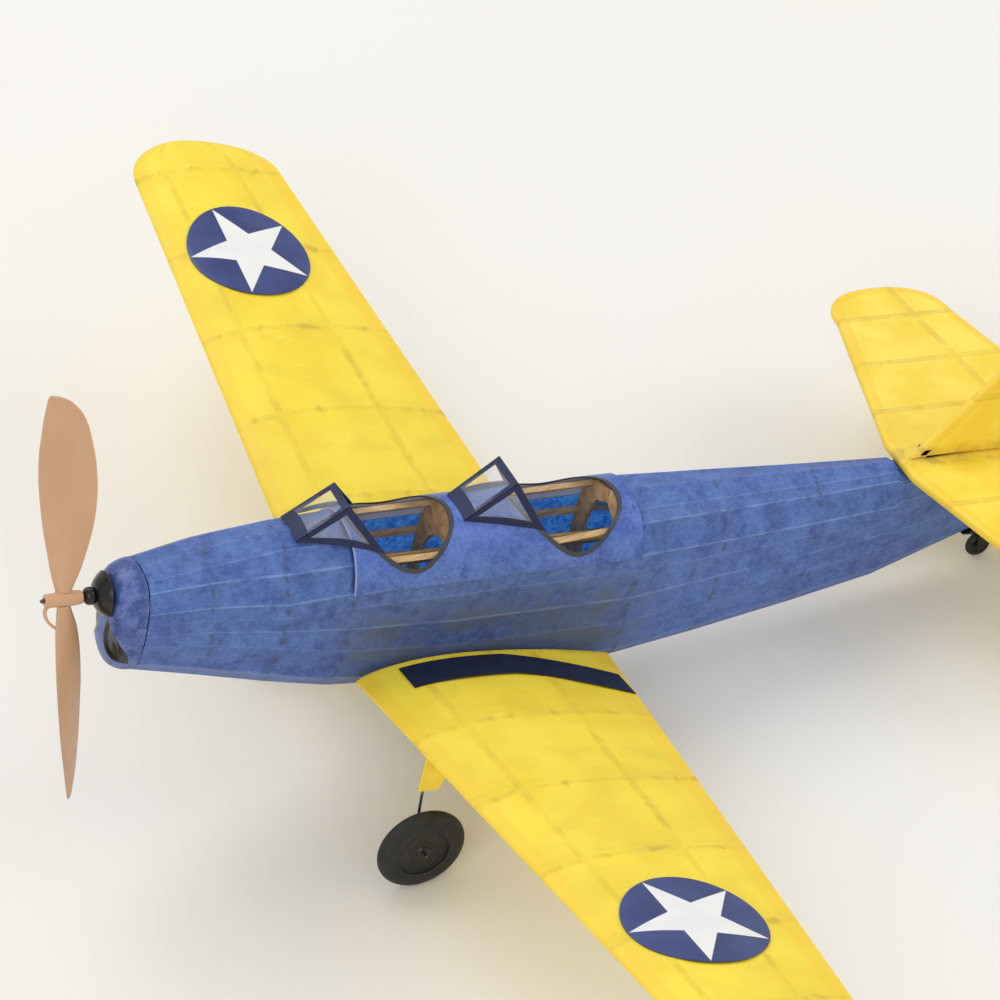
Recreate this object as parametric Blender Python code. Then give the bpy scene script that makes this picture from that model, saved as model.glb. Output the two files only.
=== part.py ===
"""Rubber-powered stick-and-tissue model of a low-wing two-seat trainer, standing on its wheels.

The aeroplane is drawn in a design frame, in millimetres: X runs aft along the thrust line from the
joint behind the nose block, Y to the right wing, Z up. An empty then tilts it to its ground attitude
and lifts it, so that the finished part stands on Z = 0 with its box centred on X = Y = 0.
"""

import math
from collections import namedtuple

import bmesh
import bpy
from mathutils import Matrix, Vector
from mathutils.geometry import tessellate_polygon

MM = 0.001

# Clearances and sheet thicknesses
GAP = 0.3
TISSUE = 0.3
DECK_PROUD = 0.5
STICK = 1.7
STICK_INSET = TISSUE + 0.35
FORMER_THICKNESS = 1.5
FORMER_INSET = 0.3
NOTCH_ROOM = 0.3

# Wing
SEMI_SPAN = 222.25
ROOT_Y = 17.3
ROOT_CHORD = 85.1
BAY = 37.3
BAYS = 5
LE_SWEEP = 1.36
TE_SWEEP = 5.12
DIHEDRAL = 0.18
INCIDENCE = math.radians(1.5)
WING_ORIGIN = (68.5, 0.0, -31.4)
CAMBER = 0.036
CAMBER_PLACE = 0.4
THICKNESS = 0.092
TE_HALF_THICKNESS = 0.45
SPAR_PLACES = (0.19, 0.67)

# Cockpits: front end, widest place, rear end and half-width
COCKPITS = ((64.6, 82.0, 95.6, 15.3), (118.6, 136.0, 152.2, 15.9))
DECK_FRONT = 62.8
DECK_REAR = 156.6
DECK_EDGE_ANGLE = 17.0

# Motor and propeller
PROP_X = -22.2
PROP_TURN = math.radians(25.2)
# Blade sections: radius, reach ahead and behind, thickness, blade angle in degrees
BLADE = (
    (2.0, 2.2, 2.2, 3.0, 72.0),
    (6.0, 3.1, 4.0, 2.4, 67.0),
    (9.0, 3.7, 5.3, 2.1, 63.5),
    (14.0, 4.5, 7.1, 1.9, 56.5),
    (20.0, 5.6, 9.2, 1.7, 49.0),
    (27.0, 6.5, 11.1, 1.6, 43.5),
    (34.0, 7.1, 12.2, 1.5, 39.3),
    (41.0, 6.9, 12.3, 1.4, 36.8),
    (47.0, 6.0, 11.6, 1.3, 34.7),
    (52.0, 5.1, 10.5, 1.2, 32.8),
    (55.5, 4.2, 8.6, 1.1, 31.2),
    (57.8, 2.9, 5.6, 1.0, 30.2),
    (59.0, 1.4, 1.6, 0.9, 29.6),
)
SHAFT_RADIUS = 0.6
SHAFT_BORE = 0.85
HUB_FRONT = -28.0
HUB_REAR = -16.5
HOOK_REAR = 12.4
PEG_X = 285.0
PEG_Z = -1.5
PEG_RADIUS = 1.3
MOTOR_RADIUS = 2.2

# Tail
STAB_Z = 13.9
STAB_HALF_THICKNESS = 1.0
STAB_ROOT_LE = 255.0
STAB_STRAIGHT = 9.0
STAB_LE_SLOPE = 0.28
STAB_ROOT_TE = 336.0
STAB_TE_SLOPE = 0.245
STAB_RIBS = (25.0, 49.5, 74.0)
STAB_SPAR_X = 308.7
STAB_SPAR_SLOPE = 0.09
TIP_START = 75.0
STAB_HALF_SPAN = 91.0
FIN_BASE = 15.75
FIN_ROOT_LE = 258.8
FIN_HALF_THICKNESS = 0.9

# Landing gear
WHEEL_X = 79.0
WHEEL_Y = 56.8
WHEEL_Z = -64.6
WHEEL_RADIUS = 14.0
WHEEL_WIDTH = 5.2
WIRE_RADIUS = 0.45
LEG_Y = 53.2
AXLE_BORE = 0.8
FAIRING_BOTTOM = -43.8
TAIL_WHEEL_X = 296.0
TAIL_WHEEL_Z = -23.6
TAIL_WHEEL_RADIUS = 4.4
TAIL_WHEEL_WIDTH = 2.6

# One cross-section of the fuselage: place, half-width, height of the widest point, top, bottom, and
# how square the upper and the lower half are (2 is an ellipse)
Section = namedtuple("Section", "x half_width middle top bottom upper lower")
SECTIONS = (
    Section(0.0, 11.5, -8.0, 8.5, -27.0, 3.0, 2.1),
    Section(19.5, 14.3, -6.0, 12.7, -31.0, 2.6, 2.3),
    Section(41.4, 17.0, -6.0, 16.3, -35.5, 2.1, 2.6),
    Section(63.0, 17.0, -6.0, 16.9, -39.0, 2.4, 3.4),
    Section(98.0, 17.0, -6.0, 16.9, -41.0, 2.5, 4.0),
    Section(157.0, 17.0, -6.0, 16.4, -41.5, 2.7, 4.0),
    Section(188.0, 14.6, -5.5, 15.9, -38.0, 2.6, 3.6),
    Section(223.0, 11.2, -5.0, 15.2, -33.0, 2.5, 3.4),
    Section(253.0, 8.2, -4.6, 14.8, -27.8, 2.5, 3.2),
    Section(254.4, 8.0, -4.6, 12.0, -27.4, 4.0, 3.2),
    Section(287.0, 4.2, -2.0, 12.0, -16.0, 4.0, 3.0),
    Section(318.0, 1.7, 3.0, 12.0, -4.0, 4.0, 3.0),
)
# Corners round a section, in degrees up from the widest point. Sticks run along five of them.
CORNERS = (90.0, 66.0, 50.0, DECK_EDGE_ANGLE, 5.5, -2.0, -12.0, -40.0, -66.0, -90.0)
KEEL, LOWER, SIDE, UPPER, CROWN = 9, 5, 4, 2, 0
STICK_CORNERS = (KEEL, LOWER, SIDE, UPPER, CROWN)
# The upper sticks drift round the section: place, angle in degrees
UPPER_DRIFT = ((0.0, 47.0), (41.4, 43.0), (130.0, 42.0), (157.1, 50.0), (318.0, 52.0))
# Formers: place, and the hole as half-width, centre height and half-height, or None for a wide hole
FORMERS = (
    (2.0, (6.2, -4.0, 8.6)),
    (19.5, None),
    (41.4, None),
    (60.5, None),
    (98.0, (12.0, -13.0, 18.0)),
    (152.3, (10.0, -6.0, 18.0)),
    (188.0, None),
    (223.0, None),
    (251.2, None),
)
SKIN_STATIONS = (0.8, 19.5, 41.4, 62.4, 98.0, 127.0, 157.1, 188.0, 223.0, 253.0, 254.4, 287.0, 318.0)


# Scene, materials and mesh helpers


def clear_scene():
    for thing in list(bpy.data.objects):
        bpy.data.objects.remove(thing, do_unlink=True)


def material(name, colour, roughness, metallic=0.0, alpha=1.0):
    found = bpy.data.materials.new(name)
    found.use_nodes = True
    shader = found.node_tree.nodes["Principled BSDF"]
    shader.inputs["Base Color"].default_value = (*colour, 1.0)
    shader.inputs["Roughness"].default_value = roughness
    shader.inputs["Metallic"].default_value = metallic
    shader.inputs["Alpha"].default_value = alpha
    return found


def make_materials():
    return {
        "blue_tissue": material("blue_tissue", (0.07, 0.13, 0.42), 0.65),
        "blue_card": material("blue_card", (0.08, 0.15, 0.45), 0.5),
        "yellow_tissue": material("yellow_tissue", (0.90, 0.60, 0.05), 0.6),
        "navy_paper": material("navy_paper", (0.03, 0.05, 0.16), 0.6),
        "balsa": material("balsa", (0.72, 0.52, 0.30), 0.8),
        "clear_acetate": material("clear_acetate", (0.85, 0.87, 0.88), 0.1, 0.0, 0.3),
        "tan_plastic": material("tan_plastic", (0.42, 0.24, 0.13), 0.4),
        "black_plastic": material("black_plastic", (0.02, 0.02, 0.02), 0.25),
        "black_rubber": material("black_rubber", (0.025, 0.025, 0.025), 0.6),
        "steel_wire": material("steel_wire", (0.35, 0.35, 0.36), 0.35, 1.0),
        "rubber_strip": material("rubber_strip", (0.45, 0.33, 0.18), 0.7),
        "hardwood": material("hardwood", (0.55, 0.38, 0.20), 0.6),
    }


def add(name, mesh, skin, parent, smooth=None):
    thing = bpy.data.objects.new(name, mesh)
    bpy.context.scene.collection.objects.link(thing)
    thing.data.materials.append(skin)
    thing.parent = parent
    if smooth is not None:
        mesh.shade_smooth()
        mesh.set_sharp_from_angle(angle=math.radians(smooth))
    return thing


def finish_mesh(name, shape):
    """Turns a bmesh drawn in millimetres into a mesh in metres, with its faces pointing out."""
    bmesh.ops.recalc_face_normals(shape, faces=shape.faces)
    bmesh.ops.scale(shape, vec=(MM, MM, MM), verts=shape.verts)
    mesh = bpy.data.meshes.new(name)
    shape.to_mesh(mesh)
    shape.free()
    return mesh


def ring_of(shape, points):
    return [shape.verts.new(point) for point in points]


def bridge(shape, first, second):
    count = len(first)
    for k in range(count):
        after = (k + 1) % count
        shape.faces.new((first[k], first[after], second[after], second[k]))


def loft(name, rings):
    """A closed body through rings of points, capped at both ends."""
    shape = bmesh.new()
    loops = [ring_of(shape, ring) for ring in rings]
    for first, second in zip(loops, loops[1:]):
        bridge(shape, first, second)
    shape.faces.new(loops[0])
    shape.faces.new(loops[-1])
    return finish_mesh(name, shape)


def sleeve(name, outer, inner):
    """A cup: two nested lofts, joined round their first rings and each closed at its last ring."""
    shape = bmesh.new()
    outside = [ring_of(shape, ring) for ring in outer]
    inside = [ring_of(shape, ring) for ring in inner]
    for loops in (outside, inside):
        for first, second in zip(loops, loops[1:]):
            bridge(shape, first, second)
        shape.faces.new(loops[-1])
    bridge(shape, outside[0], inside[0])
    return finish_mesh(name, shape)


def shell(name, outer, inner, keep, cyclic):
    """A thin sheet between two grids of points, holding only the cells that keep(row, column) allows."""
    shape = bmesh.new()
    columns = len(outer[0])
    cells = [
        (row, column)
        for row in range(len(outer) - 1)
        for column in range(columns if cyclic else columns - 1)
        if keep(row, column)
    ]
    corners = {}

    def corner(layer, row, column):
        key = (layer, row, column % columns)
        if key not in corners:
            grid = outer if layer == 0 else inner
            corners[key] = shape.verts.new(grid[row][column % columns])
        return corners[key]

    edges = {}
    for row, column in cells:
        loop = [(row, column), (row + 1, column), (row + 1, column + 1), (row, column + 1)]
        loop = [(r, c % columns) for r, c in loop]
        for layer in (0, 1):
            shape.faces.new([corner(layer, r, c) for r, c in loop])
        for start, end in zip(loop, loop[1:] + loop[:1]):
            key = frozenset((start, end))
            edges[key] = None if key in edges else (start, end)
    for pair in edges.values():
        if pair is not None:
            start, end = pair
            shape.faces.new((corner(0, *start), corner(0, *end), corner(1, *end), corner(1, *start)))
    return finish_mesh(name, shape)


def plate(name, outline, low, high, place):
    """A flat plate: an outline of (a, b) points, from low to high, put in space by place(a, b, height)."""
    rings = [[place(a, b, height) for a, b in outline] for height in (low, high)]
    return loft(name, rings)


def turned(name, profile, centre, axis, segments=24, bore=True):
    """A body turned round an axis through centre. The profile holds (radius, distance along the axis).

    With a bore, the profile is a closed loop away from the axis. Without one, it runs from the axis
    back to the axis.
    """
    shape = bmesh.new()
    along = Vector(axis).normalized()
    side = along.orthogonal().normalized()
    other = along.cross(side)
    rings = []
    for radius, distance in profile:
        if radius == 0.0:
            rings.append([shape.verts.new(Vector(centre) + along * distance)])
            continue
        ring = []
        for k in range(segments):
            turn = 2 * math.pi * k / segments
            spoke = side * math.cos(turn) + other * math.sin(turn)
            ring.append(shape.verts.new(Vector(centre) + along * distance + spoke * radius))
        rings.append(ring)
    pairs = list(zip(rings, rings[1:]))
    if bore:
        pairs.append((rings[-1], rings[0]))
    for first, second in pairs:
        if len(first) == 1 or len(second) == 1:
            tip, ring = (first[0], second) if len(first) == 1 else (second[0], first)
            for k in range(segments):
                shape.faces.new((tip, ring[k], ring[(k + 1) % segments]))
        else:
            bridge(shape, first, second)
    return finish_mesh(name, shape)


def wire(name, points, radius, skin, parent, sides=2):
    """A bent wire: a curve through the points, with round section and closed ends."""
    curve = bpy.data.curves.new(name, "CURVE")
    curve.dimensions = "3D"
    curve.bevel_depth = radius * MM
    curve.bevel_resolution = sides
    curve.use_fill_caps = True
    spline = curve.splines.new("POLY")
    spline.points.add(len(points) - 1)
    for spot, point in zip(spline.points, points):
        spot.co = (*(Vector(point) * MM), 1.0)
    thing = bpy.data.objects.new(name, curve)
    bpy.context.scene.collection.objects.link(thing)
    curve.materials.append(skin)
    thing.parent = parent
    return thing


def smooth_path(points, steps):
    """Points along a smooth curve through the given points."""
    found = []
    count = len(points)
    for k in range(count - 1):
        before = Vector(points[max(k - 1, 0)])
        start = Vector(points[k])
        end = Vector(points[k + 1])
        after = Vector(points[min(k + 2, count - 1)])
        for step in range(steps):
            t = step / steps
            found.append(
                0.5
                * (
                    2 * start
                    + (end - before) * t
                    + (2 * before - 5 * start + 4 * end - after) * t * t
                    + (3 * start - before - 3 * end + after) * t**3
                )
            )
    found.append(Vector(points[-1]))
    return found


def boolean(thing, operation, other):
    """Joins or cuts with another object, which then stays only as a guide."""
    change = thing.modifiers.new(operation.lower(), "BOOLEAN")
    change.operation = operation
    change.object = other
    change.solver = "EXACT"
    other.hide_render = True
    other.display_type = "WIRE"


def box_mesh(name, low, high):
    corners = [(low[0], low[1]), (high[0], low[1]), (high[0], high[1]), (low[0], high[1])]
    return plate(name, corners, low[2], high[2], lambda a, b, height: (a, b, height))


# Fuselage sections


def section_at(x):
    for first, second in zip(SECTIONS, SECTIONS[1:]):
        if x <= second.x:
            break
    t = (x - first.x) / (second.x - first.x)
    return Section(*(a + (b - a) * t for a, b in zip(first, second)))


def section_point(x, degrees, inset, side=1):
    """A point on the fuselage surface, inset millimetres inside it, on the right (1) or left (-1)."""
    cut = section_at(x)
    turn = math.radians(degrees)
    upper = degrees >= 0
    power = 2.0 / (cut.upper if upper else cut.lower)
    reach = (cut.top - cut.middle if upper else cut.middle - cut.bottom) - inset
    across = (cut.half_width - inset) * abs(math.cos(turn)) ** power
    rise = reach * abs(math.sin(turn)) ** power
    return Vector((x, side * across, cut.middle + (rise if upper else -rise)))


def corner_angle(corner, x):
    """The angle of a corner at x. Only the upper sticks' corner changes along the fuselage."""
    if corner != UPPER:
        return CORNERS[corner]
    for (start, first), (end, second) in zip(UPPER_DRIFT, UPPER_DRIFT[1:]):
        if x <= end:
            break
    return first + (second - first) * (x - start) / (end - start)


def hull_ring(x, inset):
    """One whole ring of points: down the right side, then up the left side."""
    angles = [corner_angle(corner, x) for corner in range(len(CORNERS))]
    right = [section_point(x, degrees, inset) for degrees in angles]
    left = [section_point(x, degrees, inset, -1) for degrees in reversed(angles[1:-1])]
    for point in (right[0], right[-1]):
        point.y = 0.0
    return right + left


def stick_frame(x, corner, side):
    """Where a stick's outer face lies at x, with the directions into the fuselage and round it."""
    angle = corner_angle(corner, x)
    here = section_point(x, angle, STICK_INSET, side)
    if corner in (CROWN, KEEL):
        here.y = 0.0
        inward = Vector((0, 0, -1 if corner == CROWN else 1))
    else:
        above = section_point(x, angle + 3, STICK_INSET, side)
        below = section_point(x, angle - 3, STICK_INSET, side)
        along = (above - below).normalized()
        inward = Vector((0, -along.z, along.y)) * side
        if inward.y * side > 0:
            inward = -inward
    return here, inward, Vector((0, -inward.z, inward.y))


def stick(name, corner, side, stations, skins, parent):
    rings = []
    for x in stations:
        here, inward, round_it = stick_frame(x, corner, side)
        rings.append(
            [
                here + round_it * STICK / 2,
                here + round_it * STICK / 2 + inward * STICK,
                here - round_it * STICK / 2 + inward * STICK,
                here - round_it * STICK / 2,
            ]
        )
    return add(name, loft(name, rings), skins["balsa"], parent)


def way_round(corner, side, round_it):
    """Unit vector along the ring of corners: down the right side, then up the left side."""
    if corner == CROWN:
        return Vector((0, side, 0))
    if corner == KEEL:
        return Vector((0, -side, 0))
    down = round_it if round_it.z < 0 else -round_it
    return down * side


def hole_spot(x, face_x, corner, side, hole):
    """The point of a former's hole that faces one of the corners, seen from the hole's middle."""
    here = stick_frame(x, corner, side)[0]
    turn = math.atan2((here.z - hole[1]) / hole[2], here.y / hole[0])
    return (face_x, hole[0] * math.cos(turn), hole[1] + hole[2] * math.sin(turn))


def former(name, x, hole, skins, parent):
    """A plate across the fuselage, with a notch for each stick and a hole for the rubber motor."""
    cut = section_at(x)
    if hole is None:
        hole = (cut.half_width * 0.62, (cut.top + cut.bottom) / 2, (cut.top - cut.bottom) * 0.33)
    half_notch = STICK / 2 + NOTCH_ROOM
    depth = STICK + NOTCH_ROOM - FORMER_INSET
    order = [(k, 1) for k in range(len(CORNERS))]
    order += [(k, -1) for k in range(len(CORNERS) - 2, 0, -1)]
    shape = bmesh.new()
    rims = []
    for face_x in (x - FORMER_THICKNESS / 2, x + FORMER_THICKNESS / 2):
        outer, inner = [], []
        for corner, side in order:
            here, inward, round_it = stick_frame(face_x, corner, side)
            here += inward * FORMER_INSET
            points = [here]
            if corner in STICK_CORNERS:
                onward = way_round(corner, side, round_it)
                steps = ((-1, 0), (-1, 1), (1, 1), (1, 0))
                points = [here + onward * a * half_notch + inward * b * depth for a, b in steps]
            outer += points
            inner.append(Vector(hole_spot(x, face_x, corner, side, hole)))
        outer_rim = [shape.verts.new(point) for point in outer]
        inner_rim = [shape.verts.new(point) for point in inner]
        every_corner = outer_rim + inner_rim
        for triangle in tessellate_polygon([outer, inner]):
            shape.faces.new([every_corner[k] for k in triangle])
        rims.append((outer_rim, inner_rim))
    bridge(shape, rims[0][0], rims[1][0])
    bridge(shape, rims[0][1], rims[1][1])
    return add(name, finish_mesh(name, shape), skins["balsa"], parent)


def fuselage_covering(skins, parent):
    """The blue tissue: a thin tube, open under the cockpit deck and at the nose."""
    outer = [hull_ring(x, 0.0) for x in SKIN_STATIONS]
    inner = [hull_ring(x, TISSUE) for x in SKIN_STATIONS]
    rows_under_deck = range(3, 6)
    columns_under_deck = (0, 1, 2, 15, 16, 17)

    def keep(row, column):
        return not (row in rows_under_deck and column in columns_under_deck)

    mesh = shell("fuselage_covering", outer, inner, keep, cyclic=True)
    skin = add("fuselage_covering", mesh, skins["blue_tissue"], parent)
    profile = ((0.0, -20.0), (PEG_RADIUS + GAP, -20.0), (PEG_RADIUS + GAP, 20.0), (0.0, 20.0))
    hole = turned("motor_peg_holes", profile, (PEG_X, 0, PEG_Z), (0, 1, 0), 12, bore=False)
    boolean(skin, "DIFFERENCE", add("motor_peg_holes", hole, skins["blue_tissue"], parent))


def cockpit_outline(front, middle, rear, half_width, count=20):
    points = []
    for k in range(count):
        turn = 2 * math.pi * k / count
        length = (middle - front) if math.cos(turn) < 0 else (rear - middle)
        points.append((middle + length * math.cos(turn), half_width * math.sin(turn)))
    return points


def cockpit_deck(skins, parent):
    """The curved card over the cockpits, standing a little proud of the tissue, with two openings."""
    steps = 9
    half = [90 - (90 - DECK_EDGE_ANGLE - 1.4) * k / steps for k in range(steps + 1)]
    stations = [DECK_FRONT + (DECK_REAR - DECK_FRONT) * k / 10 for k in range(11)]
    grids = []
    for inset in (-DECK_PROUD, TISSUE):
        grid = []
        for x in stations:
            left = [section_point(x, degrees, inset, -1) for degrees in reversed(half)]
            right = [section_point(x, degrees, inset) for degrees in half[1:]]
            left[-1].y = 0.0
            grid.append(left + right)
        grids.append(grid)
    mesh = shell("cockpit_deck", grids[0], grids[1], lambda row, column: True, cyclic=False)
    deck = add("cockpit_deck", mesh, skins["blue_card"], parent, smooth=40)
    for name, opening in zip(("front_opening", "rear_opening"), COCKPITS):
        cutter = plate(name, cockpit_outline(*opening), 0.0, 40.0, lambda a, b, height: (a, b, height))
        boolean(deck, "DIFFERENCE", add(name, cutter, skins["blue_card"], parent))


def fuselage(skins, parent):
    for number, (x, hole) in enumerate(FORMERS, start=1):
        former(f"former_{number}", x, hole, skins, parent)
    rear = (152.1, 157.1, 188.0, 223.0, 252.3)
    upper = (1.2, 19.5, 41.4, 62.4, 98.0, 130.0, 157.1, 188.0, 223.0, 252.3)
    whole = (1.2, 19.5, 41.4, 62.4, 98.0, 127.0, 157.1, 188.0, 223.0, 252.8)
    stick("bottom_keel", KEEL, 1, whole, skins, parent)
    stick("rear_deck_stringer", CROWN, 1, rear, skins, parent)
    for label, side in (("left", -1), ("right", 1)):
        stick(f"{label}_upper_longeron", UPPER, side, upper, skins, parent)
        stick(f"{label}_side_stringer", SIDE, side, whole, skins, parent)
        stick(f"{label}_lower_stringer", LOWER, side, whole, skins, parent)
    fuselage_covering(skins, parent)
    cockpit_deck(skins, parent)


# Windscreens


def windscreen(label, base, top, foot, skins, parent):
    """Three clear panels with a frame: a sloping front and a triangle on each side."""
    lift = 1.4
    slope = (top[0] - base[0]) / (top[2] - base[2])
    spots = [
        (base[0], -base[1], base[2]),
        (base[0], base[1], base[2]),
        (top[0], top[1], top[2]),
        (top[0], -top[1], top[2]),
        (foot[0], -foot[1], foot[2]),
        (foot[0], foot[1], foot[2]),
        (base[0] + lift * slope, 0.0, base[2] + lift),
    ]
    panels = ((0, 3, 2, 1, 6), (0, 4, 3), (1, 2, 5))
    for part, width in (("frame", 1.3), ("pane", 0.0)):
        name = f"{label}_windscreen_{part}"
        shape = bmesh.new()
        corners = [shape.verts.new(Vector(spot) * MM) for spot in spots]
        faces = [shape.faces.new([corners[k] for k in panel]) for panel in panels]
        shape.normal_update()
        if width:
            bmesh.ops.inset_individual(shape, faces=faces, thickness=width * MM)
            bmesh.ops.delete(shape, geom=faces, context="FACES_ONLY")
        mesh = bpy.data.meshes.new(name)
        shape.to_mesh(mesh)
        shape.free()
        skin = skins["navy_paper"] if width else skins["clear_acetate"]
        sheet = add(name, mesh, skin, parent)
        thicken = sheet.modifiers.new("thickness", "SOLIDIFY")
        thicken.thickness = (0.5 if width else 0.35) * MM
        thicken.offset = 1.0 if width else -2.8


# Nose, propeller and motor


def nose_ring(x, share, drop=0.0):
    """A ring of the nose block: the fuselage's front section, shrunk about the thrust line's foot."""
    cut = section_at(0.0)
    centre = Vector((x, 0.0, (cut.top + cut.bottom) / 2 + drop))
    ring = []
    for point in hull_ring(0.0, 0.0):
        offset = Vector((0.0, point.y, point.z - (cut.top + cut.bottom) / 2))
        ring.append(centre + offset * share)
    return ring


def nose_block(skins, parent):
    shares = ((0.3, 1.0), (-2.5, 0.985), (-5.0, 0.93), (-7.0, 0.84), (-8.4, 0.68), (-8.9, 0.5))
    rings = [nose_ring(x, share, 2.0 * (1.0 - share)) for x, share in shares]
    block = add("nose_block", loft("nose_block", rings), skins["blue_card"], parent, smooth=50)
    plug_angles = [math.radians(degrees) for degrees in range(0, 360, 24)]
    plug_ring = [(5.7 * math.cos(turn), -4.0 + 8.1 * math.sin(turn)) for turn in plug_angles]
    plug = plate("nose_plug", plug_ring, -1.0, 4.2, lambda a, b, height: (height, a, b))
    boolean(block, "UNION", add("nose_plug", plug, skins["balsa"], parent))
    bore = ((0.0, -12.0), (2.4 + GAP, -12.0), (2.4 + GAP, 8.0), (0.0, 8.0))
    bore_mesh = turned("button_bore", bore, (0, 0, 0), (1, 0, 0), 20, bore=False)
    boolean(block, "DIFFERENCE", add("button_bore", bore_mesh, skins["balsa"], parent))
    for label, side in (("left", -1), ("right", 1)):
        outline = []
        for k in range(14):
            turn = 2 * math.pi * k / 14
            narrow, long = 2.2 * math.cos(turn), 6.0 * math.sin(turn)
            lean = math.radians(35) * side
            spot_y = 5.8 * side + narrow * math.cos(lean) - long * math.sin(lean)
            spot_z = -13.0 + narrow * math.sin(lean) + long * math.cos(lean)
            outline.append((spot_y, spot_z))
        cutter = plate(f"{label}_intake", outline, -14.0, -3.8, lambda a, b, height: (height, a, b))
        boolean(block, "DIFFERENCE", add(f"{label}_intake", cutter, skins["balsa"], parent))


def nose_button(skins, parent):
    """Flanged bush that carries the shaft in the nose block."""
    profile = (
        (SHAFT_BORE, -11.0),
        (2.6, -11.0),
        (3.2, -10.4),
        (6.6, -10.0),
        (6.95, -9.6),
        (6.6, -9.2),
        (2.4, -9.2),
        (2.4, 4.6),
        (SHAFT_BORE, 4.6),
    )
    mesh = turned("nose_button", profile, (0, 0, 0), (1, 0, 0), 24)
    add("nose_button", mesh, skins["black_plastic"], parent, smooth=40)


def thrust_bead(skins, parent):
    middle = (-11.3 + HUB_REAR + GAP) / 2
    half = (-11.3 - HUB_REAR - GAP) / 2
    profile = [(SHAFT_BORE, half * 0.8), (SHAFT_BORE, -half * 0.8)]
    for k in range(9):
        turn = math.radians(-75 + 150 * k / 8)
        profile.append((1.0 + 1.9 * math.cos(turn), half * math.sin(turn) / math.sin(math.radians(75))))
    mesh = turned("thrust_bead", profile, (middle, 0, 0), (1, 0, 0), 20)
    add("thrust_bead", mesh, skins["black_plastic"], parent, smooth=60)


def blade_ring(radius, ahead, behind, thickness, degrees):
    """One blade section: a thin lens reaching ahead of and behind the blade's own line."""
    angle = math.radians(degrees)
    along_chord = Vector((-math.sin(angle), math.cos(angle), 0.0))
    across = Vector((math.cos(angle), math.sin(angle), 0.0))
    middle = Vector((PROP_X, 0.0, radius)) + along_chord * (ahead - behind) / 2
    points = []
    for k in range(10):
        turn = 2 * math.pi * k / 10
        along = (ahead + behind) / 2 * math.cos(turn)
        points.append(middle + along_chord * along + across * thickness / 2 * math.sin(turn))
    return points


def propeller(skins, parent):
    """Two twisted blades on a hub, with the curved ramp that the shaft's front end pushes against."""
    hub_profile = (
        (SHAFT_BORE, HUB_FRONT),
        (2.5, HUB_FRONT),
        (2.8, HUB_FRONT + 0.6),
        (3.0, PROP_X),
        (2.8, HUB_REAR - 0.6),
        (2.5, HUB_REAR),
        (SHAFT_BORE, HUB_REAR),
    )
    hub_mesh = turned("propeller", hub_profile, (0, 0, 0), (1, 0, 0), 20)
    hub = add("propeller", hub_mesh, skins["tan_plastic"], parent, smooth=40)
    for label, flip in (("first_blade", 0.0), ("second_blade", math.pi)):
        turn = Matrix.Rotation(flip - PROP_TURN, 3, "X")
        rings = [[turn @ point for point in blade_ring(*station)] for station in BLADE]
        blade = add(label, loft(label, rings), skins["tan_plastic"], parent)
        boolean(hub, "UNION", blade)
    across = Vector((0.0, math.cos(PROP_TURN), -math.sin(PROP_TURN)))
    down_blade = Vector((0.0, -math.sin(PROP_TURN), -math.cos(PROP_TURN)))
    rings = []
    for x, radius in ((-26.2, 1.9), (-27.9, 3.4), (-28.3, 5.0), (-27.4, 7.2), (-25.6, 9.0), (-23.4, 10.0)):
        spot = Vector((x, 0.0, 0.0)) + down_blade * radius
        lean = Vector((0.7, 0.0, 0.0)) - down_blade * 0.5 if radius > 3 else Vector((0.9, 0.0, 0.0))
        rings.append([spot - across, spot + across, spot + across + lean, spot - across + lean])
    boolean(hub, "UNION", add("freewheel_ramp", loft("freewheel_ramp", rings), skins["tan_plastic"], parent))


def prop_shaft(skins, parent):
    """The wire shaft: bent over ahead of the hub, and bent into a hook for the motor at the rear."""
    front = HUB_FRONT - GAP - SHAFT_RADIUS
    points = [(front, -1.1, 2.2), (front, -0.2, 0.4), (front + 0.5, 0, 0), (HUB_REAR, 0, 0)]
    points += [(-5, 0, 0), (5.2, 0, 0)]
    points += [(6.6, 0, 0.5), (8.0, 0, 1.6), (10.0, 0, 2.0), (11.6, 0, 1.2), (11.8, 0, -0.6)]
    points += [(10.6, 0, -1.8), (8.8, 0, -1.9)]
    wire("prop_shaft", points, SHAFT_RADIUS, skins["steel_wire"], parent)


def rubber_motor(skins, parent):
    start = HOOK_REAR + GAP
    end = PEG_X - PEG_RADIUS - GAP
    points = []
    for k in range(9):
        t = k / 8
        points.append((start + (end - start) * t, 0, PEG_Z * t))
    wire("rubber_motor", points, MOTOR_RADIUS, skins["rubber_strip"], parent)
    half_length = section_at(PEG_X).half_width + 1.6
    profile = (
        (0.0, -half_length),
        (PEG_RADIUS, -half_length),
        (PEG_RADIUS, half_length),
        (0.0, half_length),
    )
    peg = turned("motor_peg", profile, (PEG_X, 0, PEG_Z), (0, 1, 0), 16, bore=False)
    add("motor_peg", peg, skins["hardwood"], parent, smooth=40)


# Wing


def wing_edges(y):
    """Leading and trailing edge at a distance y from the centre line."""
    straight_end = ROOT_Y + BAY * BAYS
    bays = min(y - ROOT_Y, BAY * BAYS) / BAY
    front = LE_SWEEP * bays
    rear = ROOT_CHORD - TE_SWEEP * bays
    if y > straight_end:
        share = min((y - straight_end) / (SEMI_SPAN - straight_end), 1.0)
        close = 1.0 - math.sqrt(1.0 - share * share)
        middle = front + 0.42 * (rear - front)
        front += (middle - front) * close
        rear -= (rear - middle) * close
    return front, rear


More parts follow.
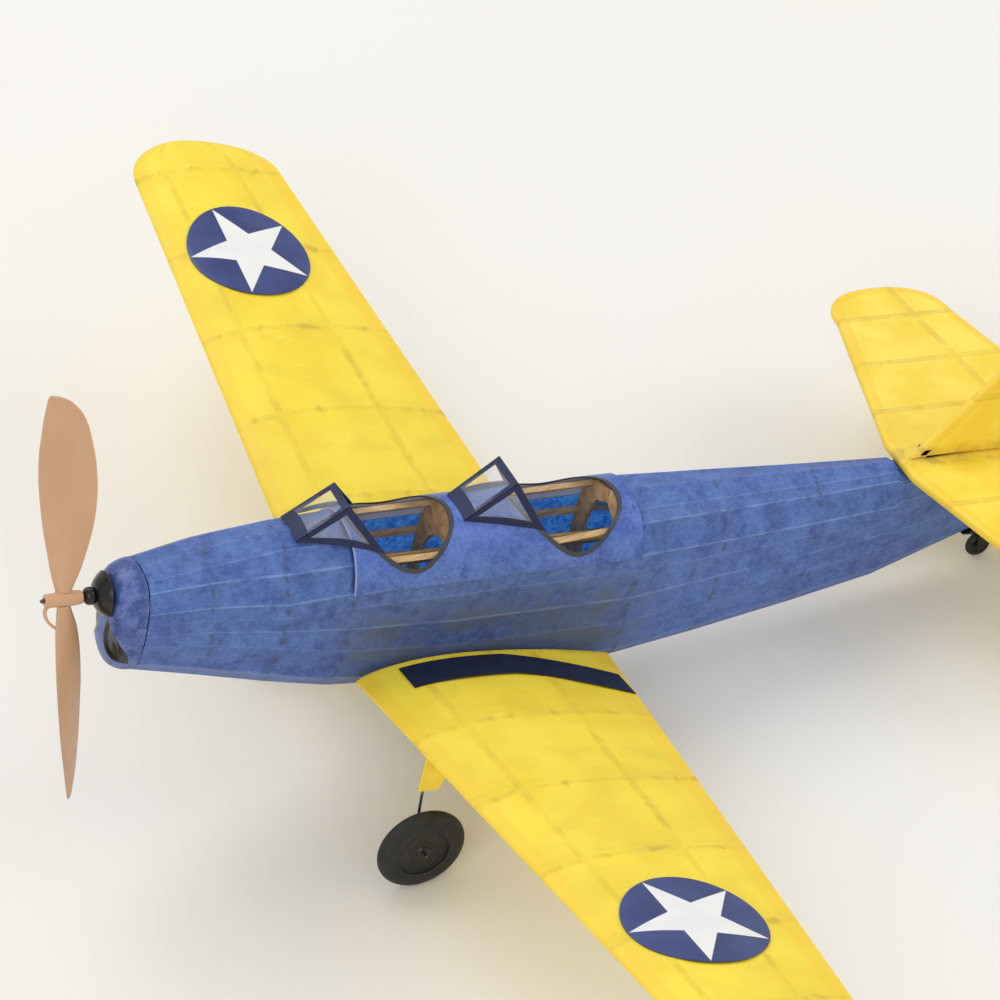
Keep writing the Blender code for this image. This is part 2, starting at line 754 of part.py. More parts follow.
def wing_surface(y, x, side_up, inset):
    """Height of the wing's upper (1) or lower (-1) surface in the wing's frame."""
    front, rear = wing_edges(y)
    chord = rear - front
    u = min(max((x - front) / chord, 0.0), 1.0)
    if u < CAMBER_PLACE:
        camber = CAMBER / CAMBER_PLACE**2 * (2 * CAMBER_PLACE * u - u * u)
    else:
        rest = 1 - 2 * CAMBER_PLACE + 2 * CAMBER_PLACE * u - u * u
        camber = CAMBER / (1 - CAMBER_PLACE) ** 2 * rest
    half = 0.2969 * math.sqrt(u) - 0.126 * u - 0.3516 * u**2 + 0.2843 * u**3 - 0.1015 * u**4
    half = 5 * THICKNESS * half * chord + TE_HALF_THICKNESS * u
    half = max(half - inset, 0.08)
    return camber * chord + side_up * half + DIHEDRAL * (y - ROOT_Y)


def wing_ring(y, inset, side, start=None, end=None, steps=9):
    """A closed ring round the wing section at y: over the top from the front, back underneath."""
    front, rear = wing_edges(y)
    low = front + (inset * 1.2 if start is None else start)
    high = rear - (inset * 3.0 if end is None else end)
    places = [low + (high - low) * (1 - math.cos(math.pi / 2 * k / steps)) for k in range(steps + 1)]
    top = [(x, side * y, wing_surface(y, x, 1, inset)) for x in places]
    bottom = [(x, side * y, wing_surface(y, x, -1, inset)) for x in reversed(places)]
    return top + bottom


def wing_stations():
    tip_start = ROOT_Y + BAY * BAYS
    straight = [ROOT_Y + BAY * k for k in range(BAYS + 1)]
    return straight, [tip_start + (SEMI_SPAN - tip_start) * share for share in (0.4, 0.7, 0.9, 0.98)]


def wing_covering(label, side, skins, parent):
    straight, tip = wing_stations()
    outer = [wing_ring(y, 0.0, side) for y in straight + tip]
    inner = [wing_ring(y, TISSUE, side) for y in straight + tip[:3]]
    mesh = sleeve(f"{label}_wing_covering", outer, inner)
    add(f"{label}_wing_covering", mesh, skins["yellow_tissue"], parent, smooth=30)


def strip_ring(y, inset, side, x_low, x_high):
    spots = []
    for x, up in ((x_low, 1), (x_high, 1), (x_high, -1), (x_low, -1)):
        spots.append((x, side * y, wing_surface(y, x, up, inset)))
    return spots


def wing_frame(label, side, skins, parent):
    """Leading edge, trailing edge, and the ribs glued to their two spars and the tip bow."""
    inset = TISSUE + GAP
    straight, tip = wing_stations()
    lead = [wing_ring(y, inset, side, 0.8, wing_edges(y)[1] - wing_edges(y)[0] - 3.8, 4) for y in straight]
    name = f"{label}_leading_edge"
    add(name, loft(name, lead), skins["balsa"], parent)
    trail = []
    for y in straight:
        rear = wing_edges(y)[1]
        trail.append(strip_ring(y, inset, side, rear - 8.0, rear - 2.0))
    name = f"{label}_trailing_edge"
    add(name, loft(name, trail), skins["balsa"], parent)

    name = f"{label}_wing_ribs"
    ribs = []
    for number, y in enumerate(straight):
        shift = 0.9 if number == 0 else 0.0
        rings = [wing_ring(y + shift + d, inset, side, 4.2, 8.4, 6) for d in (-0.6, 0.6)]
        rib_name = name if number == 0 else f"{name}_{number}"
        ribs.append(add(rib_name, loft(rib_name, rings), skins["balsa"], parent))
    spars = []
    for number, place in enumerate(SPAR_PLACES):
        rings = []
        for y in [straight[0] + 0.4] + straight[1:] + [straight[-1] + 0.5]:
            front, rear = wing_edges(y)
            x = front + (rear - front) * place
            rings.append(strip_ring(y, inset + 0.35, side, x - 1.2, x + 1.2))
        spar_name = f"{name}_spar_{number}"
        spars.append(add(spar_name, loft(spar_name, rings), skins["balsa"], parent))
    bow = []
    last = straight[-1]
    for k in range(9):
        share = math.sin(math.pi * k / 8) * 0.55
        y = last - 0.2 + (SEMI_SPAN - last) * share
        front, rear = wing_edges(last + (SEMI_SPAN - last) * share)
        x = front + 6.0 if k < 4 else rear - 13.0
        if k == 4:
            x = (front + rear) / 2
        height = wing_surface(last, x, 1, 0) + wing_surface(last, x, -1, 0)
        height = height / 2 + DIHEDRAL * (y - last)
        bow.append(((x, side * y, height)))
    bow_path = smooth_path(bow, 2)
    bow_object = wire(f"{name}_bow", bow_path, 0.6, skins["balsa"], parent)
    bow_mesh = bpy.data.meshes.new_from_object(
        bow_object.evaluated_get(bpy.context.evaluated_depsgraph_get())
    )
    bpy.data.objects.remove(bow_object)
    bow_object = add(f"{name}_bow", bow_mesh, skins["balsa"], parent)
    for other in ribs[1:] + spars + [bow_object]:
        boolean(ribs[0], "UNION", other)


def top_patch(name, side, grid_places, skin, parent):
    """A thin patch lying on the wing's upper surface, through a grid of (x, y) places."""
    grids = []
    for rise in (GAP + 0.25, GAP):
        grid = []
        for row in grid_places:
            grid.append([(x, side * y, wing_surface(y, x, 1, -rise)) for x, y in row])
        grids.append(grid)
    return add(name, shell(name, grids[0], grids[1], lambda r, c: True, cyclic=False), skin, parent)


def walkway(label, side, skins, parent):
    """A dark strip on the wing root that bends outwards towards the trailing edge."""
    rows = []
    for k in range(11):
        x = 11.6 + (ROOT_CHORD - 4.0 - 11.6) * k / 10
        inner = 20.0 + 12.0 * (max(x - 45.0, 0.0) / 37.0) ** 1.2
        rows.append([(x, inner), (x, inner + 11.3)])
    top_patch(f"{label}_walkway", side, rows, skins["navy_paper"], parent)


def roundel(label, side, skins, parent):
    """A round insignia disc draped over the upper surface near the fourth rib."""
    centre_x, centre_y, radius = 32.4, 164.3, 20.8
    segments = 28
    shape = bmesh.new()
    layers = []
    for rise in (GAP + 0.25, GAP):
        middle = shape.verts.new((centre_x, side * centre_y, wing_surface(centre_y, centre_x, 1, -rise)))
        rings = []
        for share in (0.5, 1.0):
            ring = []
            for k in range(segments):
                turn = 2 * math.pi * k / segments
                x = centre_x + radius * share * math.cos(turn)
                y = centre_y + radius * share * math.sin(turn)
                ring.append(shape.verts.new((x, side * y, wing_surface(y, x, 1, -rise))))
            rings.append(ring)
        for k in range(segments):
            shape.faces.new((middle, rings[0][k], rings[0][(k + 1) % segments]))
        bridge(shape, rings[0], rings[1])
        layers.append(rings[1])
    bridge(shape, layers[0], layers[1])
    name = f"{label}_roundel"
    add(name, finish_mesh(name, shape), skins["navy_paper"], parent)


def wings(skins, parent):
    holder = bpy.data.objects.new("wing_seat", None)
    bpy.context.scene.collection.objects.link(holder)
    holder.parent = parent
    holder.location = Vector(WING_ORIGIN) * MM
    holder.rotation_euler = (0, INCIDENCE, 0)
    for label, side in (("left", -1), ("right", 1)):
        wing_covering(label, side, skins, holder)
        wing_frame(label, side, skins, holder)
        walkway(label, side, skins, holder)
        roundel(label, side, skins, holder)


# Tail


def stab_edges(y):
    """Leading and trailing edge of the stabiliser at a distance y from the centre line."""
    front = STAB_ROOT_LE + STAB_LE_SLOPE * max(y - STAB_STRAIGHT, 0.0)
    return front, STAB_ROOT_TE - STAB_TE_SLOPE * y


def stab_outline(inset=0.0):
    """Half of the stabiliser's outline, from the root leading edge round the tip, as (x, y)."""
    reach = STAB_HALF_SPAN - TIP_START
    front, rear = stab_edges(TIP_START)
    middle = (front + rear) / 2
    points = [(STAB_ROOT_LE + inset, 0.0), (STAB_ROOT_LE + inset, STAB_STRAIGHT)]
    half = (rear - front) / 2 - inset
    for k in range(13):
        turn = math.pi * k / 12
        across = math.copysign(abs(math.cos(turn)) ** (2 / 2.3), -math.cos(turn))
        rise = abs(math.sin(turn)) ** (2 / 2.3)
        points.append((middle + half * across, TIP_START + (reach - inset) * rise))
    points.append((STAB_ROOT_TE - inset, 0.0))
    return points


def both_halves(outline):
    """Closes a half outline that starts and ends on the centre line into a whole one."""
    return outline + [(x, -y) for x, y in reversed(outline[1:-1])]


def flat(a, b, height):
    return (a, b, height)


def upright(a, b, height):
    return (a, height, b)


def ring_frame(name, outline, inner, low, high, place, skins, parent):
    """A flat frame between an outline and a smaller one with as many points."""
    shape = bmesh.new()
    loops = []
    for height in (low, high):
        loops.append([ring_of(shape, [place(a, b, height) for a, b in line]) for line in (outline, inner)])
    for first, second in ((loops[0][0], loops[1][0]), (loops[0][1], loops[1][1]), loops[0], loops[1]):
        bridge(shape, first, second)
    return add(name, finish_mesh(name, shape), skins["balsa"], parent)


def stabiliser(skins, parent):
    outline = both_halves(stab_outline())
    inner = both_halves(stab_outline(3.4))
    low, high = STAB_Z - STAB_HALF_THICKNESS, STAB_Z + STAB_HALF_THICKNESS
    frame = ring_frame("stabiliser_frame", outline, inner, low, high, flat, skins, parent)
    bars = [(y, side) for y in STAB_RIBS for side in (-1, 1)] + [(0.0, 1)]
    for number, (y, side) in enumerate(bars):
        front, rear = stab_edges(y)
        half = 1.6 if y == 0 else 0.8
        corners = ((front + 1.5, side * y - half, low + 0.2), (rear - 1.5, side * y + half, high - 0.2))
        bar = add(f"stab_rib_{number}", box_mesh("rib", *corners), skins["balsa"], parent)
        boolean(frame, "UNION", bar)
    reach = STAB_HALF_SPAN - 1.5
    swept = STAB_SPAR_X - STAB_SPAR_SLOPE * reach
    strip = [(swept - 1.0, -reach), (STAB_SPAR_X - 1.0, 0.0), (swept - 1.0, reach)]
    strip += [(x + 2.0, y) for x, y in reversed(strip)]
    spar = add("stab_spar", plate("stab_spar", strip, low + 0.3, high - 0.3, flat), skins["balsa"], parent)
    boolean(frame, "UNION", spar)
    for name, start in (("top", high + GAP), ("bottom", low - GAP - 0.25)):
        name = f"stabiliser_{name}_tissue"
        mesh = plate(name, outline, start, start + 0.25, flat)
        add(name, mesh, skins["yellow_tissue"], parent)


def fin_outline(inset=0.0):
    """Side view of the fin and rudder in one outline, as (x, z), with a round top."""
    points = [(FIN_ROOT_LE + inset * 1.9, FIN_BASE + inset)]
    points.append((283.5 + inset * 0.75, FIN_BASE + 30.0 - inset * 0.5))
    centre_x, centre_z = 316.0, FIN_BASE + 34.0
    for k in range(11):
        turn = math.radians(152 - 152 * k / 10)
        points.append(
            (centre_x + (30.0 - inset) * math.cos(turn), centre_z + (24.0 - inset) * math.sin(turn))
        )
    points.append((346.0 - inset, FIN_BASE + 20.0))
    points.append((341.0 - inset, FIN_BASE + inset))
    return points


def fin(skins, parent):
    half = FIN_HALF_THICKNESS
    frame = ring_frame("fin_frame", fin_outline(), fin_outline(3.0), -half, half, upright, skins, parent)
    bars = (
        ("fin_post", (307.5, -half + 0.2, FIN_BASE + 1.0), (309.5, half - 0.2, FIN_BASE + 56.5)),
        ("fin_rib", (276.5, -half + 0.2, 36.6), (345.0, half - 0.2, 38.2)),
        ("rudder_rib", (290.0, -half + 0.2, 53.6), (344.5, half - 0.2, 55.2)),
    )
    for name, low, high in bars:
        boolean(frame, "UNION", add(name, box_mesh(name, low, high), skins["balsa"], parent))
    for label, start in (("right", half + GAP), ("left", -half - GAP - 0.25)):
        name = f"fin_{label}_tissue"
        mesh = plate(name, fin_outline(), start, start + 0.25, upright)
        add(name, mesh, skins["yellow_tissue"], parent)


# Landing gear


def wing_underside(x, y):
    """Height of the wing's lower surface in the design frame."""
    local_x = x - WING_ORIGIN[0]
    local_z = wing_surface(abs(y), local_x, -1, 0.0)
    return WING_ORIGIN[2] + local_z * math.cos(INCIDENCE) - local_x * math.sin(INCIDENCE)


def tyre_profile(radius, half_width, bore):
    """A closed loop of (radius, distance along the axle): a flat hub face and a round tread."""
    points = [(bore, -half_width * 0.75), (radius * 0.45, -half_width * 0.75)]
    points.append((radius * 0.62, -half_width * 0.55))
    tread = radius * 0.3
    for k in range(7):
        turn = math.radians(-100 + 200 * k / 6)
        points.append((radius - tread + tread * math.cos(turn), half_width * math.sin(turn)))
    points.append((radius * 0.62, half_width * 0.55))
    points.append((radius * 0.45, half_width * 0.75))
    points.append((bore, half_width * 0.75))
    return points


def main_gear(label, side, skins, parent):
    top = wing_underside(77.0, LEG_Y) - GAP - 0.6
    end = WHEEL_Y + WHEEL_WIDTH / 2 + 1.4
    points = [(77.0, side * LEG_Y, top), (77.4, side * LEG_Y, FAIRING_BOTTOM)]
    points += [(WHEEL_X - 0.3, side * LEG_Y, WHEEL_Z + 1.6), (WHEEL_X, side * (LEG_Y + 0.5), WHEEL_Z + 0.3)]
    points += [(WHEEL_X, side * (LEG_Y + 1.2), WHEEL_Z), (WHEEL_X, side * end, WHEEL_Z)]
    wire(f"{label}_gear_leg", points, WIRE_RADIUS, skins["steel_wire"], parent)
    fairing_low = LEG_Y + WIRE_RADIUS + GAP
    fairing_high = fairing_low + 0.9
    outline = [(75.2, FAIRING_BOTTOM), (81.4, FAIRING_BOTTOM)]
    for x in (88.5, 75.2):
        outline.append((x, wing_underside(x, fairing_low) - GAP - 0.1))
    name = f"{label}_gear_fairing"
    span = sorted((side * fairing_low, side * fairing_high))
    add(name, plate(name, outline, span[0], span[1], upright), skins["yellow_tissue"], parent)
    name = f"{label}_main_wheel"
    profile = tyre_profile(WHEEL_RADIUS, WHEEL_WIDTH / 2, AXLE_BORE)
    mesh = turned(name, profile, (0, 0, 0), (0, 1, 0), 26)
    wheel = add(name, mesh, skins["black_rubber"], parent, smooth=35)
    wheel.location = Vector((WHEEL_X, side * WHEEL_Y, WHEEL_Z)) * MM


def tail_gear(skins, parent):
    """A bracket under the tail with two fork arms and the pin that the small wheel turns on."""
    bracket = (
        (287.0, -17.2),
        (303.0, -10.6),
        (299.5, -15.5),
        (298.2, -18.6),
        (293.8, -18.6),
        (291.0, -17.6),
    )
    half = TAIL_WHEEL_WIDTH / 2
    strut_mesh = plate("tail_wheel_strut", bracket, -half - 1.0, half + 1.0, upright)
    strut = add("tail_wheel_strut", strut_mesh, skins["black_plastic"], parent)
    arm_outline = ((293.8, -18.0), (298.2, -18.0), (297.4, -24.9), (294.6, -24.9))
    for label, side in (("left", -1), ("right", 1)):
        span = sorted((side * (half + 0.3), side * (half + 0.95)))
        arm = plate(f"{label}_fork_arm", arm_outline, span[0], span[1], upright)
        boolean(strut, "UNION", add(f"{label}_fork_arm", arm, skins["black_plastic"], parent))
    pin_profile = ((0.0, -half - 0.6), (0.5, -half - 0.6), (0.5, half + 0.6), (0.0, half + 0.6))
    centre = (TAIL_WHEEL_X, 0, TAIL_WHEEL_Z)
    pin = turned("tail_wheel_pin", pin_profile, centre, (0, 1, 0), 12, bore=False)
    boolean(strut, "UNION", add("tail_wheel_pin", pin, skins["black_plastic"], parent))
    profile = tyre_profile(TAIL_WHEEL_RADIUS, half, AXLE_BORE)
    mesh = turned("tail_wheel", profile, (0, 0, 0), (0, 1, 0), 18)
    wheel = add("tail_wheel", mesh, skins["black_rubber"], parent, smooth=35)
    wheel.location = Vector(centre) * MM


# Ground attitude


def ground_tilt():
    """The angle that brings the two main wheels and the tail wheel onto one level."""
    length = TAIL_WHEEL_X - WHEEL_X
    height = TAIL_WHEEL_Z - WHEEL_Z
    between_axles = math.hypot(length, height)
    return math.atan2(height, length) + math.asin((WHEEL_RADIUS - TAIL_WHEEL_RADIUS) / between_axles)


def stand_on_ground(aircraft):
    """Tilts the aeroplane onto its three wheels, then puts its box over the origin."""
    aircraft.rotation_euler = (0, ground_tilt(), 0)
    bpy.context.view_layer.update()
    graph = bpy.context.evaluated_depsgraph_get()
    points = []
    for thing in bpy.context.scene.objects:
        if thing.type == "EMPTY" or thing.hide_render:
            continue
        shown = thing.evaluated_get(graph)
        mesh = shown.to_mesh()
        points += [shown.matrix_world @ spot.co for spot in mesh.vertices]
        shown.to_mesh_clear()
    low = [min(point[k] for point in points) for k in range(3)]
    high = [max(point[k] for point in points) for k in range(3)]
    aircraft.location = (-(low[0] + high[0]) / 2, -(low[1] + high[1]) / 2, -low[2])


def main():
    clear_scene()
    skins = make_materials()
    aircraft = bpy.data.objects.new("aircraft", None)
    bpy.context.scene.collection.objects.link(aircraft)
    fuselage(skins, aircraft)
    windscreen("front", (45.3, 6.0, 16.0), (60.7, 6.0, 26.6), (71.7, 12.4, 14.7), skins, aircraft)
    windscreen("rear", (99.4, 6.4, 17.4), (114.6, 6.8, 28.9), (124.6, 11.8, 14.9), skins, aircraft)
    nose_block(skins, aircraft)
    nose_button(skins, aircraft)
    thrust_bead(skins, aircraft)
    propeller(skins, aircraft)
    prop_shaft(skins, aircraft)
    rubber_motor(skins, aircraft)
    wings(skins, aircraft)
    stabiliser(skins, aircraft)
    fin(skins, aircraft)
    for label, side in (("left", -1), ("right", 1)):
        main_gear(label, side, skins, aircraft)
    tail_gear(skins, aircraft)
    stand_on_ground(aircraft)


main()
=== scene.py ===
"""Looks of a stick-and-tissue model trainer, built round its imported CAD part."""

from math import atan2, copysign, cos, pi, radians, sin, sqrt

import bmesh
import bpy
import numpy as np
from mathutils import Matrix, Vector


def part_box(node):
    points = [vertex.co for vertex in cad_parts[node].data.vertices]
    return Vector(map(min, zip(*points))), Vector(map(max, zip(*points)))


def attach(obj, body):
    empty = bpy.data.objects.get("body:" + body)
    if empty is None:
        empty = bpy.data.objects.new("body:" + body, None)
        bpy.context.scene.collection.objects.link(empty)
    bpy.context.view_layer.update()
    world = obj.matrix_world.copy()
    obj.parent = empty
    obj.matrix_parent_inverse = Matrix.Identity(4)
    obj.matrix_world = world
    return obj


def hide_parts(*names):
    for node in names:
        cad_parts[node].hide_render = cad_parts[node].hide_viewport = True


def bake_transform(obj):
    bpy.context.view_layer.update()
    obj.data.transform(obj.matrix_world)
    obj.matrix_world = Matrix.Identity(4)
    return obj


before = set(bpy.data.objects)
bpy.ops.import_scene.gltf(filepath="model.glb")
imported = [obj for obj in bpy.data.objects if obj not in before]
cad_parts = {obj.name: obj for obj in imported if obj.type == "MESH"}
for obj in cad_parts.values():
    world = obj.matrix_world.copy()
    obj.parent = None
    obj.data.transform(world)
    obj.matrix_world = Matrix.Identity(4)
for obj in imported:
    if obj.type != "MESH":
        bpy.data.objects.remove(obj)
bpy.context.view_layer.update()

# The aeroplane's own frame, in millimetres: X aft along the thrust line, Y right, Z up
LEFT_WHEEL = (79.0, -56.8, -64.6)
RIGHT_WHEEL = (79.0, 56.8, -64.6)
TAIL_WHEEL = (296.0, 0.0, -23.6)
PEG = (285.0, 0.0, -1.5)
# Cockpit deck: front, rear, and the angle its edges come down to
DECK = (61.9, 157.3, 15.8)
# Cockpit openings: front end, widest place, rear end, reach to the left and to the right
COCKPITS = ((64.6, 82.0, 95.6, 15.3, 13.4), (118.6, 136.0, 152.2, 15.9, 13.9))
FORMERS = (0.3, 19.5, 41.4, 62.4, 98.0, 127.0, 157.1, 188.0, 223.0, 253.0, 287.0, 318.0)

# Fuselage sections: place aft, half-width, widest height, top, bottom, squareness above and below
SECTIONS = np.array((
    (-9.0, 11.5, -8.0, 8.5, -27.0, 3.0, 2.1),
    (0.0, 11.5, -8.0, 8.5, -27.0, 3.0, 2.1),
    (19.5, 14.3, -6.0, 12.7, -31.0, 2.6, 2.3),
    (41.4, 17.0, -6.0, 16.3, -35.5, 2.1, 2.6),
    (63.0, 17.0, -6.0, 16.9, -39.0, 2.4, 3.4),
    (98.0, 17.0, -6.0, 16.9, -41.0, 2.5, 4.0),
    (157.0, 17.0, -6.0, 16.4, -41.5, 2.7, 4.0),
    (188.0, 14.6, -5.5, 15.9, -38.0, 2.6, 3.6),
    (223.0, 11.2, -5.0, 15.2, -33.0, 2.5, 3.4),
    (253.0, 8.2, -4.6, 14.8, -27.8, 2.5, 3.2),
    (254.4, 8.0, -4.6, 12.0, -27.4, 4.0, 3.2),
    (287.0, 4.2, -2.0, 12.0, -16.0, 4.0, 3.0),
    (318.0, 1.7, 3.0, 12.0, -4.0, 4.0, 3.0),
))
# Corners round a section in degrees up from the widest point, and how pale the tissue is on them: partly the
# stick showing through, partly a painted highlight on the ridge.
# The third corner's angle drifts along the fuselage: places aft, angles.
UPPER_DRIFT = ((0.0, 41.4, 130.0, 157.1, 318.0), (47.0, 43.0, 42.0, 50.0, 52.0))
CORNERS = (90.0, 66.0, None, 17.0, 5.5, -2.0, -12.0, -40.0, -66.0, -90.0)
CORNER_PALING_AND_HIGHLIGHT = (0.2, 0.5, 1.0, 0.9, 0.3, 0.6, 0.3, 0.6, 0.5)
# Where points lie between one corner and the next
FACET_PLACES = (0.0, 0.07, 0.22, 0.4, 0.6, 0.78, 0.93)

# Propeller blade: radius, reach ahead and behind, thickness, blade angle
BLADE = np.array((
    (2.0, 2.2, 2.2, 3.0, 72.0),
    (6.0, 3.1, 4.0, 2.4, 67.0),
    (9.0, 3.7, 5.3, 2.1, 63.5),
    (14.0, 4.5, 7.1, 1.9, 56.5),
    (20.0, 5.6, 9.2, 1.7, 49.0),
    (27.0, 6.5, 11.1, 1.6, 43.5),
    (34.0, 7.1, 12.2, 1.5, 39.3),
    (41.0, 6.9, 12.3, 1.4, 36.8),
    (47.0, 6.0, 11.6, 1.3, 34.7),
    (52.0, 5.1, 10.5, 1.2, 32.8),
    (55.5, 4.2, 8.6, 1.1, 31.2),
    (57.7, 3.5, 5.9, 1.0, 30.2),
    (58.6, 2.9, 3.8, 0.9, 29.8),
    (59.0, 2.1, 1.5, 0.7, 29.6),
))
PROP_X = -22.2
PROP_TURN = radians(25.2)
HUB_FRONT, HUB_REAR = -28.0, -16.5
# Intakes: place across and up, half-width, half-length and lean
INTAKE = (6.2, -13.2, 3.6, 7.2, radians(22))

# Wing
SEMI_SPAN = 222.25
ROOT_Y = 17.3
BAY = 37.3
BAYS = 5
TIP_RIB = ROOT_Y + BAYS * BAY
ROOT_CHORD = 85.1
# How far the leading and the trailing edge come in over one bay
EDGE_SWEEP = (1.36, 5.12)
DIHEDRAL = 0.18
CAMBER = 0.036
CAMBER_PLACE = 0.4
WING_THICKNESS = 0.092
TE_HALF_THICKNESS = 0.45
SPARS = (0.19, 0.67)
WING_ORIGIN = (68.5, 0.0, -31.4)
INCIDENCE = radians(1.5)
# Roundel: place aft and across, and radius
DISC = (32.4, 164.3, 20.8)

# Tail
STAB_Z = 13.9
STAB_FRONT, STAB_REAR = 255.0, 336.0
STAB_STRAIGHT, STAB_TIP_START, STAB_TIP = 9.0, 75.0, 16.0
STAB_RIBS = (24.6, 49.5, 74.0)
STAB_SPAR = (308.7, 0.09)
FIN_BASE = 15.75
FIN_FRONT, FIN_REAR = 258.8, 346.0
FIN_RIBS = (37.4, 54.4)

# Landing gear. Wheels: body, CAD node, centre, radius and half-width
LEG_Y = 53.2
LEG_TOP_X = 77.0
FAIRING_Y = 54.4
FAIRING_BOTTOM = -43.8
WHEELS = (
    ("left_wheel", "left_main_wheel", LEFT_WHEEL, 14.0, 2.6),
    ("right_wheel", "right_main_wheel", RIGHT_WHEEL, 14.0, 2.6),
    ("rear_wheel", "tail_wheel", TAIL_WHEEL, 4.4, 1.3),
)


# Frames of reference


def centre_of(node):
    low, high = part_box(node)
    return (low + high) / 2


def design_matrix():
    """From the aeroplane's frame in millimetres to the row frame in metres, through two wheel centres."""
    front, rear = centre_of("left_main_wheel"), centre_of("tail_wheel")
    drawn = atan2(TAIL_WHEEL[2] - LEFT_WHEEL[2], TAIL_WHEEL[0] - LEFT_WHEEL[0])
    stood = atan2(rear.z - front.z, rear.x - front.x)
    turn = Matrix.Rotation(drawn - stood, 4, "Y") @ Matrix.Scale(0.001, 4)
    return Matrix.Translation(front - turn @ Vector(LEFT_WHEEL)) @ turn


DESIGN = design_matrix()
WING = DESIGN @ Matrix.Translation(WING_ORIGIN) @ Matrix.Rotation(INCIDENCE, 4, "Y")


def moved(matrix, points):
    table = np.array(matrix)
    return np.asarray(points, float) @ table[:3, :3].T + table[:3, 3]


# Mesh helpers


def grid_faces(rows, columns, closed=False):
    faces = []
    for row in range(rows - 1):
        for column in range(columns if closed else columns - 1):
            after = (column + 1) % columns
            corners = (row, column), (row + 1, column), (row + 1, after), (row, after)
            faces.append(tuple(r * columns + c for r, c in corners))
    return faces


def tube_faces(rows, columns):
    """A tube through rings of points, with both ends closed."""
    last = (rows - 1) * columns
    ends = [tuple(range(columns)), tuple(range(last, last + columns))]
    return grid_faces(rows, columns, True) + ends


def border_of(rows, columns):
    """The outer points of a grid, in order round it."""
    border = list(range(columns)) + [r * columns + columns - 1 for r in range(1, rows)]
    border += [(rows - 1) * columns + c for c in range(columns - 2, -1, -1)]
    return border + [r * columns for r in range(rows - 2, 0, -1)]


def round_angles(count):
    return np.linspace(0, 2 * pi, count + 1)[:-1]


class Shape:
    """Points, faces and each face's material number, gathered before they become one mesh."""

    def __init__(self):
        self.points = []
        self.faces = []
        self.picks = []

    def add(self, points, faces, pick=0):
        start = len(self.points)
        self.points += [tuple(p) for p in np.asarray(points, float).reshape(-1, 3)]
        self.faces += [tuple(start + k for k in face) for face in faces]
        self.picks += [pick] * len(faces)
        return self

    def tube(self, rings, pick=0):
        rings = np.asarray(rings, float)
        return self.add(rings, tube_faces(*rings.shape[:2]), pick)

    def turn(self, profile, centre=(0, 0, 0), axis=(1, 0, 0), segments=72, pick=0):
        return self.tube(turned_rings(profile, centre, axis, segments), pick)

    def sheet(self, upper, lower, under=0):
        """A closed sheet between two grids of points. The lower side has material number "under"."""
        rows, columns = np.shape(upper)[:2]
        far = rows * columns
        faces = grid_faces(rows, columns)
        below = [tuple(far + k for k in face) for face in faces]
        border = border_of(rows, columns)
        sides = [(a, b, far + b, far + a) for a, b in zip(border, border[1:] + border[:1])]
        self.add([upper, lower], faces + below + sides)
        self.picks[len(faces) : 2 * len(faces)] = [under] * len(faces)
        return self


def new_mesh(name, points, faces, picks, looks, matrix, sharp):
    mesh = bpy.data.meshes.new(name)
    mesh.from_pydata(moved(matrix, points).tolist(), [], faces)
    shape = bmesh.new()
    shape.from_mesh(mesh)
    bmesh.ops.recalc_face_normals(shape, faces=shape.faces)
    shape.to_mesh(mesh)
    shape.free()
    for look in looks:
        mesh.materials.append(look)
    mesh.polygons.foreach_set("material_index", picks)
    mesh.shade_smooth()
    mesh.set_sharp_from_angle(angle=radians(sharp))
    return mesh


def store(mesh, name, kind, values):
    attribute = mesh.attributes.new(name, kind, "POINT")
    key = "vector" if kind == "FLOAT_VECTOR" else "value"
    attribute.data.foreach_set(key, np.asarray(values, np.float32).ravel())


def piece(name, shape, looks, replaced, body="airframe", matrix=DESIGN, sharp=40, values=None):
    """One shown piece: drawn in the aeroplane's frame, riding on a body and standing for CAD nodes."""
    mesh = new_mesh(name, shape.points, shape.faces, shape.picks, looks, matrix, sharp)
    store(mesh, "place", "FLOAT_VECTOR", shape.points)
    for key, numbers in (values or {}).items():
        store(mesh, key, "FLOAT", numbers)
    thing = bpy.data.objects.new(name, mesh)
    bpy.context.scene.collection.objects.link(thing)
    if body:
        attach(thing, body)
    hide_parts(*replaced)
    return thing


def smooth_rows(table, steps):
    """Rows of numbers on a smooth curve through the given rows."""
    table = np.asarray(table, float)
    padded = np.vstack((2 * table[0] - table[1], table, 2 * table[-1] - table[-2]))
    found = []
    for k in range(len(table) - 1):
        before, start, end, after = padded[k : k + 4]
        for t in np.arange(steps) / steps:
            slope = (end - before) * t
            curve = (2 * before - 5 * start + 4 * end - after) * t * t
            last = (3 * start - before - 3 * end + after) * t**3
            found.append(0.5 * (2 * start + slope + curve + last))
    found.append(table[-1])
    return np.array(found)


def turned_rings(profile, centre, axis, segments):
    """Rings round an axis from (radius, distance) pairs. Radius 0 becomes a very small ring."""
    along = Vector(axis).normalized()
    side = along.orthogonal().normalized()
    other = along.cross(side)
    rings = []
    for radius, distance in profile:
        ring = []
        for k in range(segments):
            turn = 2 * pi * k / segments
            spoke = side * cos(turn) + other * sin(turn)
            ring.append(tuple(Vector(centre) + along * distance + spoke * max(radius, 0.01)))
        rings.append(ring)
    return rings


